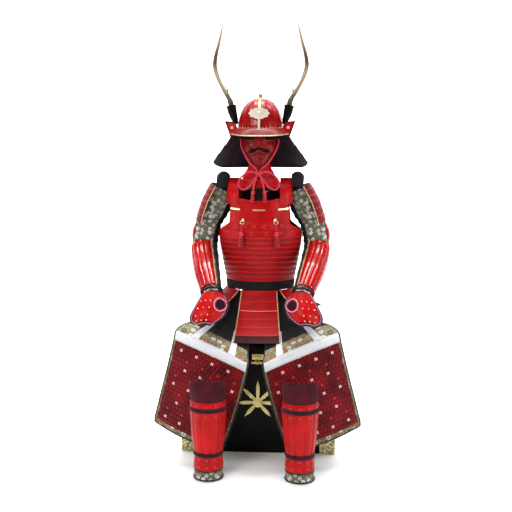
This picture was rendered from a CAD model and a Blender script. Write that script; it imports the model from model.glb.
import math
import bmesh
import bpy
import numpy as np
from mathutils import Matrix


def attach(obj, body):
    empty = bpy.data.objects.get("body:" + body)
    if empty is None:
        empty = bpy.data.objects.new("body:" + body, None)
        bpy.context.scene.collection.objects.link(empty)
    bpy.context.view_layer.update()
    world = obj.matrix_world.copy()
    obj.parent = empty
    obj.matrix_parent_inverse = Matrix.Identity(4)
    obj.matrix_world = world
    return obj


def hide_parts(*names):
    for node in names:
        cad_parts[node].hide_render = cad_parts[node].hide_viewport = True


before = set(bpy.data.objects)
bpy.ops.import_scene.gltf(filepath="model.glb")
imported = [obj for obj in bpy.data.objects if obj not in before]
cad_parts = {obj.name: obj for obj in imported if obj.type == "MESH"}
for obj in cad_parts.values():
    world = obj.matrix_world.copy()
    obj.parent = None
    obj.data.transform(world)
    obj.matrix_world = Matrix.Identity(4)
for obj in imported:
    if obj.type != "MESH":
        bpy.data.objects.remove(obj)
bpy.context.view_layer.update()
print("frame:", len(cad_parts), "nodes")

# Everything is planned in millimetres, as on the pattern sheets, and set back by this much in the frame.
setBack = 180.405

# camera
camera = {"at": (0.214, -3.62, 1.44), "turn": (82.3, 0, 3.56), "lens": 54.63}


# The camera of the photo: its place, aim and lens from the settings
def addCamera():
    data = bpy.data.cameras.new("camera")
    data.lens = camera["lens"]
    data.sensor_width = 36
    made = bpy.data.objects.new("camera", data)
    made.location = camera["at"]
    made.rotation_euler = [math.radians(a) for a in camera["turn"]]
    bpy.context.collection.objects.link(made)
    bpy.context.scene.camera = made


addCamera()
print("camera set")


# numbers to surfaces
def vec(x, y, z):
    return np.stack(np.broadcast_arrays(x, y, z), axis=-1).astype(float)


# Straight blend: a at t = 0, b at t = 1
def lerp(a, b, t):
    return a + (b - a) * t


def smooth(x, low, high):  # 0 below low, 1 above high, an S between
    t = np.clip((np.asarray(x, float) - low) / (high - low), 0, 1)
    return t * t * (3 - 2 * t)


def column(rows, at, which=1):  # a table's column, straight between its rows
    rows = np.asarray(rows, float)
    return np.interp(at, rows[:, 0], rows[:, which])


# Each vector divided by its own length
def unit(v):
    return v / np.maximum(np.linalg.norm(v, axis=-1, keepdims=True), 1e-12)


def curveThrough(points):
    # Centripetal Catmull-Rom: each span is a cubic through its two ends, whose slopes are the
    # differences to the neighbours over the square roots of the distances.
    p = np.array(points, float)
    last = len(p) - 1
    p = np.vstack([2 * p[0] - p[1], p, 2 * p[-1] - p[-2]])

    def at(t):
        place = np.clip(np.asarray(t, float), 0, 1) * last
        span = np.minimum(place.astype(int), last - 1)
        w = (place - span)[..., None]
        a, b, c, d = (p[span + k] for k in range(4))
        g0, g1, g2 = (np.sqrt(np.linalg.norm(n - m, axis=-1, keepdims=True)) for m,
            n in ((a, b), (b, c), (c, d)))
        s1 = g1 * ((b - a) / g0 - (c - a) / (g0 + g1) + (c - b) / g1)
        s2 = g1 * ((c - b) / g1 - (d - b) / (g1 + g2) + (d - c) / g2)
        return b + s1 * w + (3 * (c - b) - 2 * s1 - s2) * w**2 + (2 * (b - c) + s1 + s2) * w**3

    return at


def byLength(at, count=400):  # the same curve, its parameter in step with its length
    t = np.linspace(0, 1, count + 1)
    run = np.concatenate([[0], np.cumsum(np.linalg.norm(np.diff(at(t), axis=0), axis=1))])
    return lambda s: at(np.interp(s, run / run[-1], t))


def normalsOf(at, u, v, e=1e-3):  # across times down, each from two close points
    return unit(np.cross(at(u + e, v) - at(u - e, v), at(u, v + e) - at(u, v - e)))


def lengthsOf(points):  # how far each grid point lies along its row and its column, in metres
    across = np.cumsum(np.linalg.norm(np.diff(points, axis=1, prepend=points[:, :1]), axis=-1), axis=1)
    down = np.cumsum(np.linalg.norm(np.diff(points, axis=0, prepend=points[:1]), axis=-1), axis=0)
    across -= across[:, -1:] / 2
    return np.stack([across, down], axis=-1) / 1000


# Quads of a grid whose points run row by row
def gridFaces(rows, cols, start=0):
    i, j = np.meshgrid(np.arange(rows - 1), np.arange(cols - 1), indexing="ij")
    a = start + i * cols + j
    return np.stack([a, a + 1, a + cols + 1, a + cols], axis=-1).reshape(-1, 4)


def rimFaces(rows, cols, inner,
        sides=True):  # quads from a grid's border to the same border of the inner grid
    top = np.arange(cols)
    low = top + (rows - 1) * cols
    left = np.arange(rows) * cols
    right = left + cols - 1
    lines = [top[::-1], low] + ([left, right[::-1]] if sides else [])
    return np.concatenate([np.stack([n[:-1], n[1:], n[1:] + inner, n[:-1] + inner],
        axis=-1) for n in lines])


def makePiece(name, points, faces, uv, looks, which=None, flip=False, angle=38, merge=True):
    # points in millimetres; flip makes the right-hand twin
    points = np.asarray(points, float).reshape(-1, 3)
    faces = np.asarray(faces)
    if flip:
        points = points * (-1, 1, 1)
        faces = faces[:, ::-1]
    mesh = bpy.data.meshes.new(name)
    mesh.vertices.add(len(points))
    mesh.vertices.foreach_set("co", ((points + (0, setBack, 0)) / 1000).astype(np.float32).ravel())
    mesh.loops.add(faces.size)
    mesh.loops.foreach_set("vertex_index", faces.astype(np.int32).ravel())
    mesh.polygons.add(len(faces))
    mesh.polygons.foreach_set("loop_start", np.arange(len(faces), dtype=np.int32) * faces.shape[1])
    mesh.update(calc_edges=True)
    layer = mesh.uv_layers.new(name="weave")
    layer.data.foreach_set("uv", np.asarray(uv, np.float32).reshape(-1, 2)[faces].ravel())
    for look in looks:
        mesh.materials.append(look)
    if which is not None:
        mesh.polygons.foreach_set("material_index", np.asarray(which, np.int32))
    if merge:
        work = bmesh.new()
        work.from_mesh(mesh)
        bmesh.ops.remove_doubles(work, verts=work.verts, dist=2e-6)
        work.to_mesh(mesh)
        work.free()
    mesh.polygons.foreach_set("use_smooth", np.ones(len(mesh.polygons), bool))
    mesh.set_sharp_from_angle(angle=math.radians(angle))
    mesh.update()
    made = bpy.data.objects.new(name, mesh)
    bpy.context.collection.objects.link(made)
    return made


def shell(name, at, us, vs, outer, inner, looks, ring=False, flip=False, patch=None, **more):
    # A closed wall: the surface moved out by outer(u, v) and by inner(u, v), joined along its rims.
    # Outer quads where patch(u, v) holds take the last look.
    u, v = np.meshgrid(us, vs)
    base, normal = at(u, v), normalsOf(at, u, v)
    high, low = (base + normal * (np.zeros_like(u) + np.asarray(lift))[..., None] for lift in (outer,
        inner))
    rows, cols = u.shape
    count = rows * cols
    quads = [gridFaces(rows, cols), gridFaces(rows, cols, count)[:, ::-1],
        rimFaces(rows, cols, count, not ring)]
    if (us[-1] - us[0]) * (vs[-1] - vs[0]) < 0:  # rows that run backwards would turn the wall inside out
        quads = [q[:, ::-1] for q in quads]
    which = np.concatenate([np.full(len(q), min(k, len(looks) - 1)) for k, q in enumerate(quads)])
    if patch is not None:
        which[: len(quads[0])][patch(u[:-1, :-1], v[:-1, :-1]).ravel()] = len(looks) - 1
    uv = np.concatenate([lengthsOf(high).reshape(-1, 2)] * 2)
    points = np.concatenate([high.reshape(-1, 3), low.reshape(-1, 3)])
    return makePiece(name, points, np.concatenate(quads), uv, looks, which, flip, **more)


def tubeParts(line, radius, sides=12, side=(0, 1, 0), closed=False, wide=1.0):
    # A round section carried along a line; wide stretches it along the side direction.
    line = np.asarray(line, float)
    if closed:
        tangent = np.roll(line[:-1], -1, axis=0) - np.roll(line[:-1], 1, axis=0)
        tangent = unit(np.vstack([tangent, tangent[:1]]))
    else:
        tangent = unit(np.gradient(line, axis=0))
    radius = np.broadcast_to(np.asarray(radius, float), len(line)).copy()
    one = unit(np.cross(tangent, np.broadcast_to(np.asarray(side, float), tangent.shape)))
    two = np.cross(tangent, one)
    if not closed:
        line, one, two = (np.vstack([a[:1], a, a[-1:]]) for a in (line, one, two))
        radius = np.concatenate([[0], radius, [0]])
    turn = np.linspace(0, 2 * np.pi, sides + 1)
    ring = np.cos(turn)[:, None] * one[:, None] + wide * np.sin(turn)[:, None] * two[:, None]
    points = line[:, None] + radius[:, None, None] * ring
    run = np.concatenate([[0], np.cumsum(np.linalg.norm(np.diff(line, axis=0), axis=1))]) / 1000
    uv = np.stack(np.meshgrid(turn / (2 * np.pi), run), axis=-1)
    return points.reshape(-1, 3), gridFaces(len(line), sides + 1), uv.reshape(-1, 2)


def joined(parts):  # several (points, faces, uv) as one
    starts = np.cumsum([0] + [len(p[0]) for p in parts[:-1]])
    faces = np.concatenate([p[1] + s for p, s in zip(parts, starts)])
    return np.concatenate([p[0] for p in parts]), faces, np.concatenate([p[2] for p in parts])


# A round bar along a line, as a piece
def tube(name, line, radius, looks, flip=False, **more):
    return makePiece(name, *tubeParts(line, radius, **more), looks, flip=flip, angle=60)


def framesOn(at, u, v, lift=0.0):  # places on a surface with their across, up and outward directions
    u, v = np.asarray(u, float).ravel(), np.asarray(v, float).ravel()
    out = normalsOf(at, u, v)
    across = unit(at(u + 1e-3, v) - at(u - 1e-3, v))
    return at(u, v) + out * np.broadcast_to(lift, u.shape)[:, None], across, np.cross(out, across), out


def scattered(frames, template):  # one small template at every place, as whole arrays
    spot, across, up, out = frames
    points, faces, uv = template
    moved = (
        spot[:, None]
        + points[None, :, :1] * across[:, None]
        + points[None, :, 1:2] * up[:, None]
        + points[None, :, 2:] * out[:, None]
    )
    starts = np.arange(len(spot))[:, None, None] * len(points)
    return moved.reshape(-1, 3), (faces[None] + starts).reshape(-1, faces.shape[1]), np.tile(uv,
        (len(spot), 1))


def domeTemplate(width, height, thick, nx=5, ny=5, sunk=0.6, round=2.0, taper=0.0, turn=0.0):
    # A crowned pad: thick times the product of 1 - |x|^round and 1 - |y|^round, its rim sunk a little.
    x, y = np.meshgrid(np.linspace(-1, 1, nx), np.linspace(-1, 1, ny))
    crown = np.sqrt(np.clip((1 - np.abs(x) ** round) * (1 - np.abs(y) ** round), 0, 1))
    wide = width / 2 * (1 - taper * np.clip(-y, 0, 1) ** 2)
    px, py = x * wide, y * height / 2
    c, s = math.cos(turn), math.sin(turn)
    points = vec(px * c - py * s, px * s + py * c, thick * crown - sunk).reshape(-1, 3)
    uv = np.stack([px, py], axis=-1).reshape(-1, 2) / 1000
    return points, gridFaces(ny, nx), uv


def buttonTemplate(radius, high, sides=10, rings=4):
    # A round head: height falls with the square of the distance from its middle.
    turn, r = np.meshgrid(np.linspace(0, -2 * np.pi, sides + 1), np.linspace(0, 1, rings))
    points = vec(radius * r * np.cos(turn), radius * r * np.sin(turn), high * (1 - r**2) - 0.2)
    return points.reshape(-1, 3), gridFaces(rings, sides + 1), points.reshape(-1, 3)[:, :2] / 1000


def lameRows(edges, profile):
    # For each lame the rows at the profile's places, and the height there.
    edges = np.asarray(edges, float)
    place, height = np.array(profile, float).T
    down = edges[:-1, None] + np.diff(edges)[:, None] * place[None]
    return down.ravel(), np.tile(height, len(edges) - 1)


# Fix a piece to the root body, name its material and the solids it stands for
def settle(piece, slot, *nodes):
    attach(piece, "root")
    if nodes:
        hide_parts(*nodes)
    return piece


def declareSheet(piece, held, *rests, loss=1.0):
    # The cut is read back from the wall: its rows and columns give the width and length, half its skin the area.
    mesh = piece.data
    uv = np.zeros(len(mesh.loops) * 2)
    mesh.uv_layers["weave"].data.foreach_get("uv", uv)
    width, length = np.ptp(uv.reshape(-1, 2), axis=0)
    area = np.zeros(len(mesh.polygons))
    mesh.polygons.foreach_get("area", area)
    area = min(area.sum() / 2 * loss, width * length)
    print("sheet", piece.name, round(width, 3), "x", round(length, 3), "m, area", round(area, 4))


# The left piece and its mirror image
def pairs(name):
    return ((f"{name}_left", False), (f"{name}_right", True))


# finishes
def newLook(name, **sockets):
    look = bpy.data.materials.new(name)
    look.use_nodes = True
    shader = look.node_tree.nodes["Principled BSDF"]
    for socket, value in sockets.items():
        words = "".join(" " + c if c.isupper() else c for c in socket).title()
        shader.inputs[words].default_value = value
    return look, shader


# A shader node with its settings and input values
def node(look, kind, values=(), **settings):
    made = look.node_tree.nodes.new(kind)
    for key, value in settings.items():
        setattr(made, key, value)
    for key, value in dict(values).items():
        if isinstance(value, bpy.types.NodeSocket):
            look.node_tree.links.new(value, made.inputs[key])
        else:
            made.inputs[key].default_value = value
    return made


def link(look, source, target):
    look.node_tree.links.new(source, target)


# Place on the piece in its own space, stretched and turned
def onObject(look, stretch=(1, 1, 1), turn=(0, 0, 0)):
    place = node(look, "ShaderNodeTexCoord")
    return node(look, "ShaderNodeMapping",
        {"Vector": place.outputs["Object"], "Scale": stretch, "Rotation": turn}).outputs[0]


# Place on the cloth, measured along its threads
def onWeave(look, stretch=(1, 1, 1), turn=0.0):
    place = node(look, "ShaderNodeUVMap", uv_map="weave")
    return node(
        look, "ShaderNodeMapping", {"Vector": place.outputs[0], "Scale": stretch, "Rotation": (0, 0, turn)}
    ).outputs[0]


def noise(look, where, scale, detail=4.0, roughness=0.55, bend=0.0):
    values = {"Vector": where, "Scale": scale, "Detail": detail, "Roughness": roughness, "Distortion": bend}
    return node(look, "ShaderNodeTexNoise", values).outputs["Fac"]


def bands(look, where, scale, direction="X", bend=0.0, profile="SIN"):
    made = node(
        look,
        "ShaderNodeTexWave",
        {"Vector": where, "Scale": scale, "Distortion": bend, "Detail": 1.0},
        wave_type="BANDS",
        bands_direction=direction,
        wave_profile=profile,
    )
    return made.outputs["Fac"]


def ramp(look, factor, *stops):
    made = node(look, "ShaderNodeValToRGB", {"Fac": factor})
    steps = made.color_ramp.elements
    for k, (place, colour) in enumerate(stops):
        step = steps[k] if k < 2 else steps.new(place)
        step.position = place
        step.color = (*colour, 1) if hasattr(colour, "__len__") else (colour, colour, colour, 1)
    return made.outputs["Color"]


def mixed(look, factor, a, b, way="MIX"):
    made = node(look, "ShaderNodeMix", data_type="RGBA", blend_type=way)
    for key, value in ((0, factor), (6, a), (7, b)):
        if isinstance(value, bpy.types.NodeSocket):
            look.node_tree.links.new(value, made.inputs[key])
        elif hasattr(value, "__len__"):
            made.inputs[key].default_value = (*value, 1)
        else:
            made.inputs[key].default_value = value
    return made.outputs[2]


# One step of arithmetic on two shader values
def maths(look, way, a, b=0.0):
    return node(look, "ShaderNodeMath", {0: a, 1: b}, operation=way).outputs[0]


def relief(look, shader, *heights):  # (height, depth in metres) one upon the other
    under = None
    for height, depth in heights:
        values = {"Height": height, "Distance": depth, "Strength": 1.0}
        made = node(look, "ShaderNodeBump", values)
        if under is not None:
            link(look, under, made.inputs["Normal"])
        under = made.outputs["Normal"]
    link(look, under, shader.inputs["Normal"])


def lacquer(name, deep, bright, rough=(0.3, 0.46), coat=0.03, worn=(0.06, 0.006, 0.005), index=1.24):
    # Urushi over leather or iron: cloudy depth, fine dust in the gloss, rubbed spots
    look, shader = newLook(name, coatWeight=coat, coatRoughness=0.08)
    shader.inputs["IOR"].default_value = index
    where = onObject(look)
    cloud = noise(look, where, 14, 5)
    rub = noise(look, where, 120, 6, 0.7)
    colour = mixed(look, ramp(look, cloud, (0.3, 0.0), (0.72, 1.0)), deep, bright)
    colour = mixed(look, ramp(look, rub, (0.66, 0.0), (0.8, 0.55)), colour, worn)
    link(look, colour, shader.inputs["Base Color"])
    link(look, ramp(look, noise(look, where, 45, 4), (0.25, rough[0]), (0.8, rough[1])),
        shader.inputs["Roughness"])
    relief(look, shader, (noise(look, where, 22, 2), 0.0012), (rub, 0.00012))
    return look


# A metal look with a brighter and a duller colour
def metal(name, bright, dull, rough=(0.22, 0.45), beaten=0.0004):
    look, shader = newLook(name, metallic=1.0)
    where = onObject(look)
    tarnish = noise(look, where, 30, 6, 0.65)
    link(look, mixed(look, ramp(look, tarnish, (0.4, 0.0), (0.75, 1.0)), bright, dull),
        shader.inputs["Base Color"])
    link(look, ramp(look, tarnish, (0.3, rough[0]), (0.75, rough[1])), shader.inputs["Roughness"])
    relief(look, shader, (noise(look, where, 90, 3), beaten), (noise(look, where, 500, 2), 0.00008))
    return look


def chased(name, bright, dull, groove, size=13.0):
    # Gilt sheet with engraved scrolls: cells of uneven size, their borders cut in and darkened
    look, shader = newLook(name, metallic=0.75)
    where = onObject(look)
    wander = noise(look, where, 34, 3)
    bent = node(look, "ShaderNodeVectorMath", {0: where, 1: maths(look, "MULTIPLY", wander, 0.03)},
        operation="ADD")
    edge = node(
        look,
        "ShaderNodeTexVoronoi",
        {"Vector": bent.outputs[0], "Scale": 1000 / size},
        feature="DISTANCE_TO_EDGE",
    ).outputs["Distance"]
    tarnish = noise(look, where, 30, 6, 0.65)
    colour = mixed(look, ramp(look, tarnish, (0.4, 0.0), (0.75, 1.0)), bright, dull)
    cut = ramp(look, edge, (0.06, 1.0), (0.16, 0.0))
    link(look, mixed(look, cut, colour, groove), shader.inputs["Base Color"])
    link(look, ramp(look, tarnish, (0.3, 0.3), (0.75, 0.55)), shader.inputs["Roughness"])
    relief(look, shader, (edge, 0.002), (tarnish, 0.0002))
    return look


def silk(name, deep, bright, pitch=260.0, roughness=0.55):
    # Flat braid: two slanting bands crossing, light on the crowns of the strands
    look, shader = newLook(name, roughness=roughness, sheenWeight=0.06, sheenRoughness=0.35)
    shader.inputs["IOR"].default_value = 1.32
    one = bands(look, onWeave(look, (0.02, 1, 1), 0), pitch / 6, "DIAGONAL")
    two = bands(look, onWeave(look, (-0.02, 1, 1), 0), pitch / 6, "DIAGONAL")
    strand = maths(look, "MAXIMUM", one, two)
    worn = noise(look, onObject(look), 60, 4)
    colour = mixed(look, ramp(look, strand, (0.25, 0.0), (0.85, 1.0)), deep, bright)
    link(look, mixed(look, ramp(look, worn, (0.55, 0.0), (0.85, 0.4)), colour, deep),
        shader.inputs["Base Color"])
    relief(look, shader, (strand, 0.0007))
    return look


def brocadeLook(name, ground, flower, leaf, line, size=26.0):
    # Woven cloth: a scatter of six-petalled flowers and vine lines on a plain ground, with ribs of weft
    look, shader = newLook(name, roughness=0.78, sheenWeight=0.08, sheenRoughness=0.4)
    where = onWeave(look)
    cell = node(
        look, "ShaderNodeTexVoronoi", {"Vector": where, "Scale": 1000 / size, "Randomness": 0.8},
            voronoi_dimensions="2D"
    )
    away = node(look, "ShaderNodeVectorMath", {0: where, 1: cell.outputs["Position"]}, operation="SUBTRACT")
    parts = node(look, "ShaderNodeSeparateXYZ", {0: away.outputs[0]})
    angle = maths(look, "ARCTAN2", parts.outputs["Y"], parts.outputs["X"])
    petals = maths(look, "COSINE", maths(look, "MULTIPLY", angle, 6.0))
    reach = maths(look, "MULTIPLY", cell.outputs["Distance"],
        maths(look, "ADD", maths(look, "MULTIPLY", petals, -0.16), 1.0))
    kind = node(look, "ShaderNodeSeparateColor", {0: cell.outputs["Color"]}).outputs["Red"]
    petal = ramp(look, kind, (0.0, flower), (0.42, flower), (0.5, leaf), (0.72, leaf),
        (0.8, (0.72, 0.7, 0.62)))
    edge = node(
        look,
        "ShaderNodeTexVoronoi",
        {"Vector": where, "Scale": 2300 / size, "Randomness": 1.0},
        voronoi_dimensions="2D",
        feature="DISTANCE_TO_EDGE",
    ).outputs["Distance"]
    vines = mixed(look, ramp(look, edge, (0.05, 1.0), (0.09, 0.0)), ground, leaf)
    colour = mixed(look, ramp(look, reach, (0.4, 1.0), (0.45, 0.0)), vines, line)
    colour = mixed(look, ramp(look, reach, (0.35, 1.0), (0.38, 0.0)), colour, petal)
    colour = mixed(look, ramp(look, reach, (0.1, 1.0), (0.14, 0.0)), colour, (0.36, 0.22, 0.06))
    soil = noise(look, onObject(look), 9, 5)
    colour = mixed(look, ramp(look, soil, (0.45, 0.0), (0.8, 0.5)), colour, (0.09, 0.075, 0.05))
    link(look, colour, shader.inputs["Base Color"])
    weft = bands(look, where, 190, "Y")
    warp = bands(look, where, 260, "X")
    raised = ramp(look, reach, (0.36, 1.0), (0.42, 0.0))
    relief(look, shader, (raised, 0.0005), (maths(look, "MULTIPLY", weft, warp), 0.0003), (soil, 0.002))
    return look


# A leather look with a pale colour and a stain
def leather(name, pale, stain):
    look, shader = newLook(name, roughness=0.6)
    where = onObject(look)
    grain = node(look, "ShaderNodeTexVoronoi", {"Vector": where, "Scale": 420.0}).outputs["Distance"]
    mark = noise(look, where, 26, 5)
    link(look, mixed(look, ramp(look, mark, (0.5, 0.0), (0.85, 0.7)), pale, stain),
        shader.inputs["Base Color"])
    relief(look, shader, (grain, 0.0002), (noise(look, where, 18, 3), 0.0015))
    return look


def cloth(name, deep, bright, rib=230.0, roughness=0.85, sheen=0.05):
    # Plain ribbed cloth with a little uneven dye
    look, shader = newLook(name, roughness=roughness, sheenWeight=sheen, sheenRoughness=0.5)
    shader.inputs["IOR"].default_value = 1.25
    where = onWeave(look)
    weft, warp = bands(look, where, rib, "Y"), bands(look, where, rib * 1.2, "X")
    dye = noise(look, onObject(look), 20, 5)
    weave = maths(look, "MULTIPLY", weft, warp)
    shade = maths(look, "ADD", maths(look, "MULTIPLY", weave, 0.35), maths(look, "MULTIPLY", dye, 0.75))
    link(look, mixed(look, ramp(look, shade, (0.3, 0.0), (0.8, 1.0)), deep, bright),
        shader.inputs["Base Color"])
    relief(look, shader, (weave, 0.0003), (dye, 0.001))
    return look


# The antlers' look, drawn out along the beam
def hornLook(name):
    look, shader = newLook(name, roughness=0.42)
    along = onWeave(look, (14, 5, 1))
    streak = noise(look, along, 3.0, 6, 0.65, 0.6)
    height = node(look, "ShaderNodeSeparateXYZ", {0: onWeave(look)}).outputs["Y"]
    body = ramp(look, height, (0.0, (0.02, 0.012, 0.009)), (0.045, (0.07, 0.042, 0.022)),
        (0.09, (0.34, 0.27, 0.14)),
                (0.18, (0.4, 0.32, 0.17)), (0.225, (0.05, 0.03, 0.018)), (0.27, (0.06, 0.036, 0.02)),
                (0.31, (0.34, 0.26, 0.12)), (0.4, (0.66, 0.58, 0.32)))
    colour = mixed(look, ramp(look, streak, (0.35, 0.0), (0.75, 0.75)), body, (0.1, 0.07, 0.035))
    link(look, colour, shader.inputs["Base Color"])
    relief(look, shader, (streak, 0.002), (noise(look, onObject(look), 260, 3), 0.0002))
    return look


# Plain wood: noise drawn out along the grain
def woodLook(name):
    look, shader = newLook(name, roughness=0.6)
    grain = noise(look, onObject(look, (6, 6, 0.7)), 12, 6, 0.6, 1.5)
    link(look, ramp(look, grain, (0.3, (0.008, 0.005, 0.004)), (0.7, (0.03, 0.018, 0.012))),
        shader.inputs["Base Color"])
    relief(look, shader, (grain, 0.0008))
    return look


def furLook(name, dark, pale):
    look, shader = newLook(name, roughness=0.7)
    shader.inputs["IOR"].default_value = 1.12
    strand = noise(look, onObject(look, (1, 1, 0.3)), 240, 3)
    link(look, ramp(look, strand, (0.35, dark), (0.75, pale)), shader.inputs["Base Color"])
    return look


scarlet = lacquer("scarlet_lacquer", (0.3, 0.0008, 0.0015), (0.5, 0.0016, 0.002))
helmetRed = lacquer("helmet_lacquer", (0.17, 0.0008, 0.0015), (0.33, 0.0016, 0.002), rough=(0.22, 0.36),
    coat=0.16)
glossScarlet = lacquer("gloss_scarlet_lacquer", (0.27, 0.0008, 0.0015), (0.46, 0.0016, 0.002),
    rough=(0.2, 0.34), coat=0.3, index=1.3)
crimson = lacquer("crimson_lacquer", (0.1, 0.001, 0.003), (0.2, 0.002, 0.006), rough=(0.28, 0.45))
maroon = lacquer("maroon_lacquer", (0.018, 0.001, 0.003), (0.05, 0.002, 0.006), rough=(0.5, 0.65),
    coat=0.03, index=1.25)
black = lacquer("black_lacquer", (0.002, 0.002, 0.0022), (0.006, 0.005, 0.005), worn=(0.03, 0.025, 0.02),
    coat=0.0, index=1.16)
plumBlack = lacquer("plum_black_lining", (0.006, 0.002, 0.005), (0.022, 0.006, 0.014), rough=(0.6, 0.8),
    coat=0.0, index=1.2)
gilt = metal("gilt", (0.68, 0.52, 0.2), (0.28, 0.2, 0.07))
khakiGilt = metal("khaki_gilt", (0.66, 0.56, 0.24), (0.33, 0.27, 0.1), rough=(0.35, 0.6))
chasedGilt = chased("chased_gilt", (0.8, 0.72, 0.42), (0.48, 0.4, 0.18), (0.14, 0.11, 0.045))
paleGilt = metal("pale_gilt", (0.92, 0.8, 0.55), (0.62, 0.45, 0.25), rough=(0.25, 0.45))
ivoryGilt = lacquer("ivory_gilt", (0.5, 0.46, 0.36), (0.68, 0.63, 0.52), rough=(0.25, 0.45),
    worn=(0.4, 0.3, 0.15))
greyBrocade = brocadeLook("grey_brocade", (0.05, 0.058, 0.045), (0.42, 0.43, 0.37), (0.24, 0.23, 0.16),
    (0.006, 0.007, 0.005), 24)
creamBrocade = brocadeLook("cream_brocade", (0.3, 0.27, 0.17), (0.27, 0.12, 0.045), (0.07, 0.09, 0.025),
    (0.025, 0.018, 0.01), 34)
whiteLeather = leather("white_leather", (0.64, 0.66, 0.7), (0.42, 0.42, 0.44))
redBraid = silk("red_braid", (0.3, 0.004, 0.014), (0.62, 0.04, 0.07))
pinkBraid = silk("pink_braid", (0.5, 0.06, 0.09), (0.95, 0.45, 0.42))
goldBraid = silk("gold_braid", (0.2, 0.13, 0.04), (0.62, 0.5, 0.26))
lilacBraid = silk("lilac_braid", (0.12, 0.05, 0.13), (0.62, 0.42, 0.58))
blackBraid = silk("black_braid", (0.006, 0.005, 0.007), (0.03, 0.026, 0.032))
plumCloth = cloth("plum_cloth", (0.01, 0.003, 0.009), (0.045, 0.01, 0.028))
blackCloth = cloth("black_cloth", (0.004, 0.004, 0.005), (0.02, 0.018, 0.021))
quilted = cloth("crimson_quilting", (0.03, 0.003, 0.007), (0.12, 0.008, 0.016))
undyed = cloth("undyed_lining", (0.22, 0.19, 0.13), (0.4, 0.36, 0.27))
horn = hornLook("stag_horn")
bareWood = woodLook("bare_wood")
whiskers = furLook("dark_whiskers", (0.003, 0.0025, 0.002), (0.02, 0.016, 0.012))
crimsonBraid = silk("crimson_braid", (0.16, 0.001, 0.004), (0.4, 0.006, 0.012))
roseBraid = silk("rose_braid", (0.3, 0.008, 0.016), (0.56, 0.035, 0.05))
maroonCloth = cloth("maroon_cloth", (0.05, 0.004, 0.009), (0.13, 0.01, 0.02))
crimsonScale = lacquer("crimson_scales", (0.055, 0.001, 0.003), (0.24, 0.002, 0.005), rough=(0.36, 0.5),
    coat=0.02, index=1.2)
palePinkBraid = silk("pale_pink_braid", (0.75, 0.3, 0.32), (0.98, 0.78, 0.76))
oldGold = metal("old_gold", (0.42, 0.3, 0.14), (0.16, 0.1, 0.05), rough=(0.35, 0.6))
maskRed = lacquer("mask_lacquer", (0.1, 0.001, 0.002), (0.22, 0.002, 0.003), rough=(0.25, 0.38), coat=0.06)
print("finishes made")

# chin cord and tassels
face = {"y": -48, "halfTurn": 78, "topZ": 1490, "chinZ": 1360}
faceSize = [(0, 84, 92), (0.36, 86, 95), (0.72, 73, 98), (1, 52, 92)]
faceHills = [  # u, v, across, down, high
    (0, 0.14, 0.11, 0.16, 19),
    (0, 0.27, 0.19, 0.06, 8),
    (0.5, 0.24, 0.22, 0.18, 8),
    (-0.5, 0.24, 0.22, 0.18, 8),
    (0, 0.44, 0.3, 0.05, 5),
    (0, 0.5, 0.24, 0.035, -2),
    (0, 0.57, 0.26, 0.05, 5),
    (0, 0.8, 0.24, 0.12, 10),
]


def facePoint(u, v):  # an upright oval section that narrows to the chin; its borders rise at nose and ears
    angle = math.radians(face["halfTurn"]) * u
    top = face["topZ"] + 8 * u * u + 16 * np.exp(-((u / 0.16) ** 2))
    bottom = face["chinZ"] + 52 * np.abs(u) ** 2.2
    wide, deep = column(faceSize, v), column(faceSize, v, 2)
    return vec(wide * np.sin(angle), face["y"] - deep * np.cos(angle), lerp(top, bottom, v))


def faceRelief(u, v):  # round hills and one hollow, each a bell curve
    return sum(h[4] * np.exp(-(((u - h[0]) / h[2]) ** 2) - ((v - h[1]) / h[3]) ** 2) for h in faceHills)


silkCord = {
    "radius": 4.4,
    "cheek": [(0.94, 0.03), (0.84, 0.3), (0.66, 0.6), (0.42, 0.86), (0.16, 1)],
    "meet": (5, -160, 1338),
    "loop": [(4, -163, 1336), (40, -165, 1344), (80, -160, 1320), (96, -150, 1288), (82, -152, 1262),
             (52, -162, 1268), (26, -168, 1300), (4, -164, 1332)],
    "end": [(4, -161, 1334), (14, -170, 1308), (22, -168, 1280), (26, -158, 1252)],
    "tassel": [(26, -158, 1254), (28, -154, 1228), (30, -154, 1200)],
    "chestTassel": [(82, -140.5, 1100), (82, -145.2, 1060), (84, -150, 1035), (86, -148.5, 985)],
}


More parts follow.
